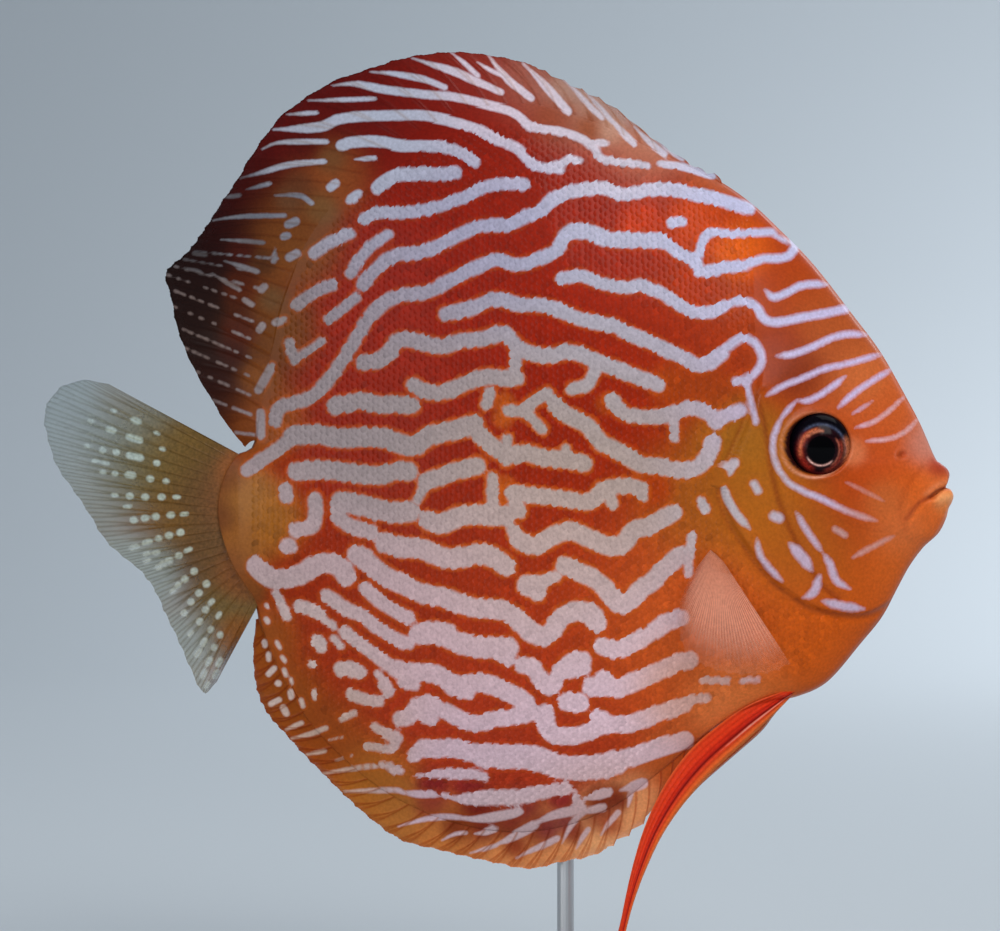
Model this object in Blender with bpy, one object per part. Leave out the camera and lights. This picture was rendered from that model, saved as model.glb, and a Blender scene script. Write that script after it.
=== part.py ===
"""A discus fish, life size, swimming in profile with its head towards +X, on a plain display stand.

The side view is laid out on a drawing of 1000 by 931 squares, counted right and down from its top left corner,
and DRAWING_SQUARE turns it into metres. The right flank faces -Y. Thicknesses and other sizes are in metres.
"""

import math

import bmesh
import bpy
import numpy as np
from mathutils import Vector

MM = 0.001
GAP = 0.3 * MM

# Driving sizes
TOTAL_LENGTH = 160 * MM
DRAWING_SQUARE = TOTAL_LENGTH / 905
DRAWING_MIDDLE = 499.7
FLOOR_LINE = 1064
FLESH_CENTRE = (575, 455)

# Outline of head and body without their fins: column, row, half thickness of the edge in mm, and how sharply
# the flank falls to it (0.5 is a full round, 1 is a knife)
BREAST_TO_CHIN = [
    (735, 713, 1.5, 0.72), (770, 699, 2.0, 0.64), (795, 695, 2.0, 0.60), (826, 680, 1.4, 0.56),
    (859, 642, 1.1, 0.55), (880, 616, 1.0, 0.55), (895, 588, 1.0, 0.55), (907, 566, 1.0, 0.55),
    (921, 549, 1.0, 0.55), (936, 534, 1.1, 0.55), (944, 518, 1.2, 0.55), (947, 501, 1.2, 0.55),
]
SNOUT_TO_TAIL = [
    (945, 485, 1.2, 0.55), (944, 470, 1.2, 0.55), (933, 457, 1.0, 0.55), (918, 424, 0.9, 0.57),
    (901, 392, 0.9, 0.60), (878, 352, 0.9, 0.62), (851, 316, 0.9, 0.64), (812, 266, 0.9, 0.66),
    (778, 231, 0.9, 0.70), (750, 205, 1.0, 0.74), (715, 181, 1.1, 0.78), (655, 151, 1.3, 0.82),
    (590, 121, 1.4, 0.85), (525, 103, 1.5, 0.85), (455, 112, 1.5, 0.85), (390, 148, 1.5, 0.85),
    (338, 193, 1.5, 0.85), (302, 243, 1.4, 0.85), (279, 300, 1.4, 0.85), (266, 360, 1.3, 0.82),
    (259, 412, 1.2, 0.80),
]
TAIL_STEM = [
    (255, 446, 1.2, 0.70), (237, 456, 1.4, 0.60), (224, 478, 1.8, 0.55), (218, 508, 2.0, 0.50),
    (223, 538, 2.0, 0.50), (235, 568, 1.8, 0.55), (256, 601, 1.4, 0.60),
]
WITHOUT_STEM = [(253, 460, 1.2, 0.82), (248, 524, 1.2, 0.82), (256, 590, 1.2, 0.82)]
TAIL_TO_BREAST = [
    (262, 625, 1.2, 0.80), (275, 660, 1.3, 0.82), (298, 706, 1.4, 0.85), (335, 750, 1.4, 0.85),
    (383, 790, 1.5, 0.85), (440, 818, 1.5, 0.85), (500, 831, 1.5, 0.85), (555, 828, 1.5, 0.85),
    (610, 808, 1.4, 0.85), (655, 775, 1.3, 0.82), (697, 740, 1.3, 0.78),
]
FLESH_OUTLINE = SNOUT_TO_TAIL + TAIL_STEM + TAIL_TO_BREAST + BREAST_TO_CHIN
FLANK_OUTLINE = SNOUT_TO_TAIL + WITHOUT_STEM + TAIL_TO_BREAST + BREAST_TO_CHIN
# The stem of the tail inside the flank: column, then half width in mm at its middle row
STEM_WIDTH = [(218, 2.2), (240, 3.9), (262, 5.0), (300, 6.0), (350, 5.0), (420, 0.0)]
STEM_ROW = 523
STEM_HALF_HEIGHT = 82
SPOKES_A_SPAN = 2
RINGS = (0.0, 0.22, 0.42, 0.58, 0.72, 0.82, 0.90, 0.96, 1.0)
# Half width of the flank along the length: column, then mm
FLANK_WIDTH = [
    (218, 5.4), (300, 8.4), (400, 11.2), (500, 13.0), (600, 14.0), (700, 14.3), (800, 14.0),
    (900, 13.5), (950, 12.0),
]
FLANK_ROUNDNESS = 2.2

# Where the head, body and tail base part: the gill opening, and the wrist of the tail
HEAD_CUT = [
    (745, 180), (753, 220), (757, 300), (754, 350), (749, 400), (733, 448), (719, 482), (728, 516),
    (747, 545), (765, 571), (788, 595), (822, 610), (860, 615), (884, 606), (912, 580),
]
TAIL_CUT = [(247, 425), (262, 460), (270, 500), (271, 545), (265, 590), (250, 630)]
BEYOND = 60

# Gill covers: front edge under the cheek, and free rear edge
GILL_FRONT = [(763, 423), (768, 463), (774, 489), (782, 514), (792, 538), (806, 562), (822, 583)]
GILL_REAR = [(746, 415), (730, 453), (717, 483), (726, 518), (745, 548), (764, 573), (794, 596)]
GILL_LIFT_FRONT = 0.35 * MM
GILL_LIFT_REAR = 1.1 * MM

# Eyes
EYE_CENTRE = (816, 445)
EYE_RADIUS = 5.4 * MM
EYE_BULGE = 1.3 * MM
ORBIT_THICKNESS = 0.55 * MM

# Mouth and nostrils
UPPER_LIP = [(905, 507), (918, 497), (929, 488), (937, 480), (942, 474)]
LOWER_LIP = [(908, 520), (922, 512), (935, 504), (943, 498), (947, 493)]
LIP_RADIUS = 1.3 * MM
MOUTH_LINE = [(962, 476), (944, 485), (931, 497), (920, 505), (910, 513)]
MOUTH_OPEN = 0.5 * MM
NOSTRIL = (901, 452)
NOSTRIL_RADIUS = 0.9 * MM

# Fin rays that set each fin's shape: foot column and row, then tip column and row
DORSAL_RAYS = [
    (722, 186, 714, 173), (700, 173, 690, 163), (670, 158, 650, 136), (638, 142, 611, 104),
    (600, 125, 571, 83), (563, 112, 529, 63), (530, 104, 488, 54), (497, 103, 448, 51),
    (463, 110, 404, 57), (437, 120, 366, 69), (418, 131, 328, 83), (395, 146, 285, 112),
    (383, 153, 268, 131), (368, 166, 250, 157), (352, 180, 236, 181), (335, 196, 221, 203),
    (318, 218, 207, 225), (292, 262, 187, 252), (275, 308, 165, 272), (269, 338, 170, 297),
    (265, 362, 175, 324), (262, 384, 184, 350), (259, 404, 197, 377), (258, 420, 213, 404),
    (257, 434, 229, 430), (256, 444, 244, 447),
]
DORSAL_COUNT = 40
DORSAL_SPINES = 10
ANAL_RAYS = [
    (712, 730, 702, 746), (695, 742, 686, 758), (672, 760, 664, 790), (650, 778, 645, 823),
    (628, 795, 619, 843), (605, 810, 592, 857), (580, 821, 562, 863), (552, 829, 530, 870),
    (525, 832, 500, 865), (498, 831, 468, 858), (468, 826, 437, 850), (438, 817, 400, 840),
    (408, 805, 367, 816), (380, 788, 340, 791), (356, 770, 320, 771), (336, 750, 300, 751),
    (318, 732, 284, 733), (303, 714, 272, 721), (290, 695, 263, 708), (280, 672, 256, 691),
    (272, 652, 253, 672), (266, 635, 252, 655), (262, 620, 253, 637), (260, 611, 255, 620),
]
ANAL_COUNT = 38
ANAL_SPINES = 8
TAIL_RAYS = [
    (237, 457, 110, 384), (231, 463, 82, 380), (227, 470, 57, 391), (224, 478, 45, 414),
    (221, 488, 49, 442), (219, 498, 57, 467), (218, 508, 72, 489), (219, 518, 88, 514),
    (220, 528, 104, 541), (223, 538, 122, 558), (226, 548, 139, 573), (230, 558, 153, 594),
    (234, 567, 163, 618), (239, 576, 174, 642), (244, 585, 186, 671), (250, 593, 199, 697),
    (256, 600, 212, 686),
]
TAIL_COUNT = 17
FIN_TIP_HALF = 0.25 * MM
RAY_RIDGE = 0.25 * MM
SPINE_REACH = 1.1 * MM
SOFT_REACH = 0.25 * MM
FIN_ROWS = 5
TAIL_ROWS = 7
# How far a fin leaves the fish's plane: the soft fins ripple, and the tail's lower lobe sweeps to the left
RIPPLE = 1.3 * MM
TAIL_SWEEP = 9 * MM
TAIL_LEAD = 3 * MM
TAIL_FLARE = 1.4

# Paired fins
PECTORAL_FOOT = [(709, 545), (714, 554), (722, 564)]
PECTORAL_TIPS = [
    (684, 578), (678, 596), (678, 620), (685, 643), (700, 657), (722, 665), (745, 666), (766, 663),
    (781, 656),
]
PECTORAL_COUNT = 11
PECTORAL_STANDOFF = 6.5 * MM
PECTORAL_ROOT_HALF = 0.9 * MM
PELVIC_NEAR = [
    (775, 698, 24), (738, 727, 29), (703, 757, 31), (676, 789, 27), (654, 826, 20), (639, 863, 14),
    (628, 899, 9), (619, 938, 6), (609, 985, 2),
]
PELVIC_FAR = [
    (781, 699, 24), (751, 725, 26), (721, 753, 24), (690, 785, 19), (664, 821, 15), (645, 857, 11),
    (632, 897, 7), (622, 935, 5), (614, 962, 2),
]
PELVIC_ROOT_Y = 1.1 * MM
PELVIC_SPREAD = 5 * MM
PELVIC_ROOT_HALF = 0.8 * MM
PELVIC_COLUMNS = 7
PELVIC_ROWS_A_SPAN = 2

# Display stand
PLINTH_SIZE = (112 * MM, 66 * MM, 10 * MM)
PLINTH_X = 11 * MM
PLINTH_CORNER = 14 * MM
PLINTH_EDGE = 1.2 * MM
ROD_RADIUS = 1.5 * MM
ROD_COLUMN = 566
ROD_Y = 4.2 * MM
ROD_TOP_ROW = 768
ROD_SEAT = 6 * MM


def place(column, row, y=0.0):
    """A spot of the side drawing, at y, in metres."""
    return Vector(((column - DRAWING_MIDDLE) * DRAWING_SQUARE, y, (FLOOR_LINE - row) * DRAWING_SQUARE))


def squares(length):
    """A length in metres as squares of the side drawing."""
    return length / DRAWING_SQUARE


def smooth_line(points, steps, closed=False):
    """Points on the smooth curve through the given ones, steps to a span. Each point may hold any numbers."""
    known = np.array(points, float)
    if closed:
        known = np.vstack([known[-1:], known, known[:2]])
    else:
        known = np.vstack([2 * known[0] - known[1], known, 2 * known[-1] - known[-2]])
    line = []
    for before, start, end, after in zip(known, known[1:], known[2:], known[3:]):
        for step in range(steps):
            t = step / steps
            line.append(
                0.5 * (2 * start + (end - before) * t
                       + (2 * before - 5 * start + 4 * end - after) * t ** 2
                       + (3 * start - before - 3 * end + after) * t ** 3)
            )
    if not closed:
        line.append(known[-2])
    return np.array(line)


def evenly(line, count, by=2):
    """count points evenly spaced along a line, measured on its first `by` numbers."""
    steps = np.linalg.norm(np.diff(line[:, :by], axis=0), axis=1)
    run = np.concatenate([[0], np.cumsum(steps)])
    wanted = np.linspace(0, run[-1], count)
    return np.stack([np.interp(wanted, run, line[:, k]) for k in range(line.shape[1])], axis=1)


RIM = smooth_line(FLESH_OUTLINE, 12, closed=True)
FLANK_RIM = smooth_line(FLANK_OUTLINE, 12, closed=True)


def around(rim, angle, values):
    """A value of an outline in the direction of an angle from the flesh's centre."""
    angles = np.arctan2(rim[:, 1] - FLESH_CENTRE[1], rim[:, 0] - FLESH_CENTRE[0])
    order = np.argsort(angles)
    return float(np.interp(angle, angles[order], values[order], period=2 * math.pi))


def reach_of(rim):
    """How far each point of an outline lies from the flesh's centre, in squares."""
    return np.hypot(rim[:, 1] - FLESH_CENTRE[1], rim[:, 0] - FLESH_CENTRE[0])


RIM_REACH = reach_of(RIM)
FLANK_REACH = reach_of(FLANK_RIM)


def half_width(column, row):
    """Half the thickness of head and body at a spot of the side drawing: the flank, eased into the tail's stem."""
    across, down = column - FLESH_CENTRE[0], row - FLESH_CENTRE[1]
    angle = math.atan2(down, across)
    share = min(1.0, math.hypot(across, down) / around(FLANK_RIM, angle, FLANK_REACH))
    edge = around(FLANK_RIM, angle, FLANK_RIM[:, 2])
    taper = around(FLANK_RIM, angle, FLANK_RIM[:, 3])
    full = np.interp(column, *zip(*FLANK_WIDTH))
    flank = edge + (full - edge) * (1 - share ** FLANK_ROUNDNESS) ** taper
    stem = np.interp(column, *zip(*STEM_WIDTH)) * math.sqrt(max(0.0, 1 - ((row - STEM_ROW) / STEM_HALF_HEIGHT) ** 2))
    return float((flank ** 5 + stem ** 5) ** 0.2) * MM


def on_rim(column, row, beyond=0.0):
    """The spot of the flesh outline in the direction of this one, moved outwards by beyond squares."""
    across, down = column - FLESH_CENTRE[0], row - FLESH_CENTRE[1]
    angle = math.atan2(down, across)
    reach = around(RIM, angle, RIM_REACH) + beyond
    return FLESH_CENTRE[0] + reach * math.cos(angle), FLESH_CENTRE[1] + reach * math.sin(angle)


def paint(name, colour, roughness, metallic=0.0):
    """A plain material."""
    material = bpy.data.materials.new(name)
    material.use_nodes = True
    shader = material.node_tree.nodes["Principled BSDF"]
    shader.inputs["Base Color"].default_value = (*colour, 1)
    shader.inputs["Roughness"].default_value = roughness
    shader.inputs["Metallic"].default_value = metallic
    return material


def face_out(built):
    """Points the faces of a closed mesh outwards."""
    bmesh.ops.recalc_face_normals(built, faces=built.faces)
    if built.calc_volume(signed=True) < 0:
        bmesh.ops.reverse_faces(built, faces=built.faces)


def solid(name, points, faces, material=None, collection=None):
    """A mesh object from corner points and faces, with its faces pointing out."""
    mesh = bpy.data.meshes.new(name)
    mesh.from_pydata([tuple(p) for p in points], [], faces)
    built = bmesh.new()
    built.from_mesh(mesh)
    bmesh.ops.remove_doubles(built, verts=built.verts, dist=0.005 * MM)
    face_out(built)
    built.to_mesh(mesh)
    built.free()
    if material:
        mesh.materials.append(material)
    body = bpy.data.objects.new(name, mesh)
    (collection or FISH).objects.link(body)
    return body


def slab(name, near, far, material):
    """A closed plate between two grids of points, split into triangles alike on both faces."""
    rows, columns = len(near), len(near[0])
    points = [p for row in near for p in row] + [p for row in far for p in row]
    other = rows * columns
    faces = []
    for r in range(rows - 1):
        for c in range(columns - 1):
            a, b = r * columns + c, r * columns + c + 1
            d, e = a + columns, b + columns
            for first, second, third in ((a, b, e), (a, e, d)):
                faces.append((first, second, third))
                faces.append((other + third, other + second, other + first))
    rim = [c for c in range(columns)]
    rim += [r * columns + columns - 1 for r in range(1, rows)]
    rim += [(rows - 1) * columns + c for c in range(columns - 2, -1, -1)]
    rim += [r * columns for r in range(rows - 2, 0, -1)]
    for start, end in zip(rim, rim[1:] + rim[:1]):
        faces.append((start, other + start, other + end))
        faces.append((start, other + end, end))
    return solid(name, points, faces, material)


def prism(name, outline, half_depth=60 * MM):
    """A tool: an outline of the side drawing made into a block across the fish."""
    near = [place(u, v, -half_depth) for u, v in outline]
    far = [place(u, v, half_depth) for u, v in outline]
    count = len(outline)
    faces = [tuple(range(count)), tuple(range(2 * count - 1, count - 1, -1))]
    faces += [(k, (k + 1) % count, count + (k + 1) % count, count + k) for k in range(count)]
    return solid(name, near + far, faces, collection=TOOLS)


def ball(name, centre, radius, collection, flat=1.0, segments=20, rings=12):
    """A sphere, flattened across the fish by flat."""
    built = bmesh.new()
    bmesh.ops.create_uvsphere(built, u_segments=segments, v_segments=rings, radius=radius)
    for vertex in built.verts:
        vertex.co = Vector((vertex.co.x, vertex.co.z * flat, vertex.co.y)) + centre
    face_out(built)
    mesh = bpy.data.meshes.new(name)
    built.to_mesh(mesh)
    built.free()
    body = bpy.data.objects.new(name, mesh)
    collection.objects.link(body)
    return body


def bar(name, path, radii):
    """A tool: a round bar along a path, with its own radius at each point."""
    curve = bpy.data.curves.new(name, "CURVE")
    curve.dimensions = "3D"
    curve.bevel_depth = 1.0
    curve.bevel_resolution = 2
    curve.use_fill_caps = True
    spline = curve.splines.new("POLY")
    spline.points.add(len(path) - 1)
    for point, spot, radius in zip(spline.points, path, radii):
        point.co = (*spot, 1)
        point.radius = radius
    guide = bpy.data.objects.new(name + "_curve", curve)
    TOOLS.objects.link(guide)
    graph = bpy.context.evaluated_depsgraph_get()
    mesh = bpy.data.meshes.new_from_object(guide.evaluated_get(graph))
    bpy.data.objects.remove(guide)
    built = bmesh.new()
    built.from_mesh(mesh)
    bmesh.ops.remove_doubles(built, verts=built.verts, dist=0.005 * MM)
    face_out(built)
    built.to_mesh(mesh)
    built.free()
    body = bpy.data.objects.new(name, mesh)
    TOOLS.objects.link(body)
    return body


def combine(target, operation, tools):
    """Joins tools to the target, or cuts it with them, and keeps its largest closed surface."""
    for tool in tools:
        step = target.modifiers.new(tool.name, "BOOLEAN")
        step.operation = operation
        step.object = tool
    graph = bpy.context.evaluated_depsgraph_get()
    result = bpy.data.meshes.new_from_object(target.evaluated_get(graph))
    target.modifiers.clear()
    target.data = result
    for tool in tools:
        bpy.data.objects.remove(tool)
    keep_largest(target)


def keep_largest(target):
    """Drops every loose scrap of a mesh but its largest surface."""
    built = bmesh.new()
    built.from_mesh(target.data)
    bmesh.ops.triangulate(built, faces=built.faces)
    left = set(built.verts)
    shells = []
    while left:
        shell, edge = set(), [left.pop()]
        while edge:
            vertex = edge.pop()
            shell.add(vertex)
            for link in vertex.link_edges:
                other = link.other_vert(vertex)
                if other in left:
                    left.discard(other)
                    edge.append(other)
        shells.append(shell)
    largest = max(shells, key=len)
    scraps = [v for shell in shells if shell is not largest for v in shell]
    bmesh.ops.delete(built, geom=scraps, context="VERTS")
    built.to_mesh(target.data)
    built.free()


def flesh(name, material):
    """Head and body in one: rings of points round the flank's centre on each side, joined by the edge."""
    spokes = smooth_line(FLESH_OUTLINE, SPOKES_A_SPAN, closed=True)
    count = len(spokes)
    points, faces = [], []
    starts = {}
    for side in (-1, 1):
        starts[side] = len(points)
        centre_width = half_width(*FLESH_CENTRE)
        points.append(place(*FLESH_CENTRE, side * centre_width))
        for share in RINGS[1:]:
            for u, v, edge, _ in spokes:
                column = FLESH_CENTRE[0] + share * (u - FLESH_CENTRE[0])
                row = FLESH_CENTRE[1] + share * (v - FLESH_CENTRE[1])
                y = edge * MM if share == 1 else max(edge * MM, half_width(column, row))
                points.append(place(column, row, side * y))
        first = starts[side] + 1
        for k in range(count):
            faces.append((starts[side], first + k, first + (k + 1) % count))
        for ring in range(len(RINGS) - 2):
            for k in range(count):
                a, b = first + ring * count + k, first + ring * count + (k + 1) % count
                faces.append((a, a + count, b + count))
                faces.append((a, b + count, b))
    last = (len(RINGS) - 2) * count + 1
    for k in range(count):
        a, b = starts[-1] + last + k, starts[-1] + last + (k + 1) % count
        c, d = starts[1] + last + k, starts[1] + last + (k + 1) % count
        faces.append((a, c, d))
        faces.append((a, d, b))
    return solid(name, points, faces, material)


def moved_aside(line, distance):
    """The same line moved to its left by a distance in squares."""
    ahead = np.gradient(line, axis=0)
    ahead /= np.linalg.norm(ahead, axis=1)[:, None]
    return line + distance * np.stack([ahead[:, 1], -ahead[:, 0]], axis=1)


def part_flesh():
    """Parts head, body and tail base with two thin cuts."""
    head_cut = smooth_line(HEAD_CUT, 3)
    tail_cut = smooth_line(TAIL_CUT, 3)
    aside = squares(GAP) / 2
    left, right, top, bottom = -BEYOND, 1000 + BEYOND, -BEYOND, 931 + BEYOND
    head_side = moved_aside(head_cut, aside)
    body_side = moved_aside(head_cut, -aside)
    body_rear = moved_aside(tail_cut, aside)
    tail_side = moved_aside(tail_cut, -aside)
    head = flesh("head", SKIN)
    combine(head, "INTERSECT", [
        prism("head_block", [*map(tuple, head_side), (right, head_side[-1][1]), (right, top), (head_side[0][0], top)])
    ])
    body = flesh("body", SKIN)
    combine(body, "INTERSECT", [
        prism("body_block", [
            *map(tuple, body_side), (right, body_side[-1][1]), (right, bottom),
            (body_rear[-1][0], bottom), *map(tuple, body_rear[::-1]), (body_rear[0][0], top), (body_side[0][0], top),
        ])
    ])
    tail_base = flesh("tail_base", SKIN)
    combine(tail_base, "INTERSECT", [
        prism("tail_block", [
            *map(tuple, tail_side), (tail_side[-1][0], bottom), (left, bottom), (left, top), (tail_side[0][0], top)
        ])
    ])
    return head, body


def eye_place(side):
    """The middle of an eye ball."""
    depth = half_width(*EYE_CENTRE) + EYE_BULGE - EYE_RADIUS
    return place(*EYE_CENTRE, side * depth)


def add_eyes(head):
    """Eye balls in sockets, each with the raised rim of its orbit."""
    rims, sockets = [], []
    for side, name in ((-1, "eye_right"), (1, "eye_left")):
        eye = ball(name, eye_place(side), EYE_RADIUS, FISH, segments=24, rings=14)
        eye.data.materials.append(EYE)
        sockets.append(ball(name + "_socket", eye_place(side), EYE_RADIUS + GAP, TOOLS, segments=24, rings=14))
        rims.append(orbit_rim(name + "_rim", side))
    combine(head, "UNION", rims)
    combine(head, "DIFFERENCE", sockets)


def orbit_rim(name, side):
    """A tool: a ring laid on the skin round an eye."""
    bpy.ops.mesh.primitive_torus_add(
        major_segments=24, minor_segments=6, major_radius=EYE_RADIUS + GAP, minor_radius=ORBIT_THICKNESS
    )
    ring = bpy.context.object
    ring.name = name
    for vertex in ring.data.vertices:
        column = EYE_CENTRE[0] + squares(vertex.co.x)
        row = EYE_CENTRE[1] + squares(vertex.co.y)
        vertex.co = place(column, row, side * (half_width(column, row) + vertex.co.z))
    for group in list(ring.users_collection):
        group.objects.unlink(ring)
    TOOLS.objects.link(ring)
    built = bmesh.new()
    built.from_mesh(ring.data)
    face_out(built)
    built.to_mesh(ring.data)
    built.free()
    return ring


def lip(name, path):
    """A tool: a lip, from the right corner of the mouth round the snout to the left one."""
    spots = smooth_line(path, 2)
    one_side = [(u, v, half_width(u, v)) for u, v in spots[:-1]]
    front = spots[-1]
    whole = [place(u, v, -y) for u, v, y in one_side] + [place(*front)]
    whole += [place(u, v, y) for u, v, y in reversed(one_side)]
    count = len(whole)
    thick = [LIP_RADIUS * (0.45 + 0.55 * math.sin(math.pi * k / (count - 1))) for k in range(count)]
    return bar(name, whole, thick)


def add_face(head):
    """Lips, the line of the mouth, and one nostril on each side as cichlids have."""
    combine(head, "UNION", [lip("upper_lip", UPPER_LIP), lip("lower_lip", LOWER_LIP)])
    line = smooth_line(MOUTH_LINE, 2)
    wide = squares(MOUTH_OPEN) / 2 * np.linspace(1.4, 0.5, len(line))[:, None]
    above, below = moved_aside(line, 1), moved_aside(line, -1)
    slit = [*map(tuple, line + (above - line) * wide), *map(tuple, (line + (below - line) * wide)[::-1])]
    nostrils = [
        ball(f"nostril_{side}", place(*NOSTRIL, side * half_width(*NOSTRIL)), NOSTRIL_RADIUS, TOOLS, 1.0, 10, 6)
        for side in (-1, 1)
    ]
    combine(head, "DIFFERENCE", [prism("mouth", slit), *nostrils])


def add_gill_covers():
    """A thin plate over each gill opening, tucked in at the cheek and standing free at its rear edge."""
    front, rear = evenly(smooth_line(GILL_FRONT, 4), 11), evenly(smooth_line(GILL_REAR, 4), 11)
    shares = np.linspace(0, 1, 6)
    for side, name in ((-1, "gill_cover_right"), (1, "gill_cover_left")):
        inner, outer = [], []
        for start, end in zip(front, rear):
            spots = [start + (end - start) * s for s in shares]
            lifts = [GILL_LIFT_FRONT + (GILL_LIFT_REAR - GILL_LIFT_FRONT) * s for s in shares]
            inner.append([place(*p, side * (half_width(*p) + GAP)) for p in spots])
            outer.append([place(*p, side * (half_width(*p) + GAP + lift)) for p, lift in zip(spots, lifts)])
        slab(name, outer, inner, SKIN)


def median_fin(rays, count, spines, rows, bulge, aside):
    """A fin of the midline: its skin between rays that stand out as ridges, as near and far grids of points.

    rays are the rays that set the shape, count is the real number, and bulge bends them backwards in squares.
    aside gives how far a point leaves the fish's plane, from its share along the base and along the ray.
    """
    foot_and_tip = evenly(smooth_line(rays, 6), 2 * count - 1)
    shares = np.linspace(0, 1, rows)
    near, far = [], []
    for k, (u0, v0, u1, v1) in enumerate(foot_and_tip):
        along = k / (len(foot_and_tip) - 1)
        is_ray = k % 2 == 0
        foot = np.array(on_rim(u0, v0, squares(GAP)))
        tip = np.array((u1, v1))
        ahead = (tip - foot) / np.linalg.norm(tip - foot)
        reach = SPINE_REACH if k < 2 * spines else SOFT_REACH
        if not is_ray:
            tip = tip - ahead * squares(reach)
        angle = math.atan2(v0 - FLESH_CENTRE[1], u0 - FLESH_CENTRE[0])
        root_half = around(RIM, angle, RIM[:, 2]) * MM
        normal = np.array((ahead[1], -ahead[0]))
        near_ray, far_ray = [], []
        for share in shares:
            spot = foot + (tip - foot) * share + normal * bulge * math.sin(math.pi * share)
            half = FIN_TIP_HALF + (root_half - FIN_TIP_HALF) * (1 - share) ** 1.6
            if is_ray:
                half += RAY_RIDGE * min(1.0, 4 * share) * (1.15 - share)
            middle = aside(along, share)
            near_ray.append(place(*spot, middle - half))
            far_ray.append(place(*spot, middle + half))
        near.append(near_ray)
        far.append(far_ray)
    return near, far


def ripple(along, share):
    """The soft rear of a long fin ripples, more towards its edge."""
    return RIPPLE * math.sin(2.4 * math.pi * along) * share ** 2 * min(1.0, 1.6 * along)


def tail_bend(along, share):
    """The tail fin's upper lobe leads to the right, and its lower lobe sweeps to the left."""
    swing = -TAIL_LEAD + (TAIL_SWEEP + TAIL_LEAD) * along ** 1.5
    return swing * share ** TAIL_FLARE


def add_long_fin(name, rays, count, spines, bulge):
    """A dorsal or anal fin in two nodes, the spiny front and the soft rear."""
    near, far = median_fin(rays, count, spines, FIN_ROWS, bulge, ripple)
    split = 2 * spines
    slab(name + "_spiny", near[:split + 1], far[:split + 1], FIN_SKIN)
    for grid in (near, far):
        spacing = (grid[split + 1][0] - grid[split][0]).length
        grid[split] = [a + (b - a) * (GAP / spacing) for a, b in zip(grid[split], grid[split + 1])]
    slab(name + "_soft", near[split:], far[split:], FIN_SKIN)


def add_midline_fins():
    """The dorsal, anal and tail fins."""
    add_long_fin("dorsal_fin", DORSAL_RAYS, DORSAL_COUNT, DORSAL_SPINES, bulge=-5)
    add_long_fin("anal_fin", ANAL_RAYS, ANAL_COUNT, ANAL_SPINES, bulge=3)
    near, far = median_fin(TAIL_RAYS, TAIL_COUNT, 0, TAIL_ROWS, 0, tail_bend)
    slab("tail_fin", near, far, TAIL_SKIN)


def add_pectoral_fins():
    """Fans low on the flanks behind the gill covers, folded down and standing off the body at their tips."""
    columns = 2 * PECTORAL_COUNT - 1
    feet = evenly(smooth_line(PECTORAL_FOOT, 4), columns)
    tips = evenly(smooth_line(PECTORAL_TIPS, 4), columns)
    shares = np.linspace(0, 1, 6)
    for side, name in ((-1, "pectoral_fin_right"), (1, "pectoral_fin_left")):
        inner, outer = [], []
        for k, (foot, tip) in enumerate(zip(feet, tips)):
            ridge = RAY_RIDGE if k % 2 == 0 else 0.0
            inner_ray, outer_ray = [], []
            for share in shares:
                spot = foot + (tip - foot) * share
                half = FIN_TIP_HALF + (PECTORAL_ROOT_HALF - FIN_TIP_HALF) * (1 - share) ** 2
                half += ridge * min(1.0, 3 * share) * (1.1 - share)
                middle = half_width(*spot) + GAP + PECTORAL_ROOT_HALF + PECTORAL_STANDOFF * share ** 1.3
                inner_ray.append(place(*spot, side * (middle - half)))
                outer_ray.append(place(*spot, side * (middle + half)))
            inner.append(inner_ray)
            outer.append(outer_ray)
        slab(name, outer, inner, TAIL_SKIN)


def add_pelvic_fin(name, path, side):
    """A long pointed fin from the keel of the breast, drawn out into a thread."""
    line = smooth_line(path, PELVIC_ROWS_A_SPAN)
    middle_line, widths = line[:, :2], line[:, 2]
    ahead = np.gradient(middle_line, axis=0)
    ahead /= np.linalg.norm(ahead, axis=1)[:, None]
    normals = np.stack([ahead[:, 1], -ahead[:, 0]], axis=1)
    inner, outer = [], []
    for k, (spot, normal, wide) in enumerate(zip(middle_line, normals, widths)):
        share = k / (len(line) - 1)
        inner_row, outer_row = [], []
        for c in range(PELVIC_COLUMNS):
            across = c / (PELVIC_COLUMNS - 1) - 0.5
            column, row = spot + normal * wide * across
            half = FIN_TIP_HALF + (PELVIC_ROOT_HALF - FIN_TIP_HALF) * (1 - share) ** 2
            if c % 2 == 0:
                half += RAY_RIDGE * 0.5 * min(1.0, 6 * share) * (1 - share)
            y = max(PELVIC_ROOT_Y + PELVIC_SPREAD * share ** 1.2, half_width(column, row) + GAP) + half
            inner_row.append(place(column, row, side * (y - half)))
            outer_row.append(place(column, row, side * (y + half)))
        inner.append(inner_row)
        outer.append(outer_row)
    slab(name, outer, inner, PELVIC_SKIN)


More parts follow.
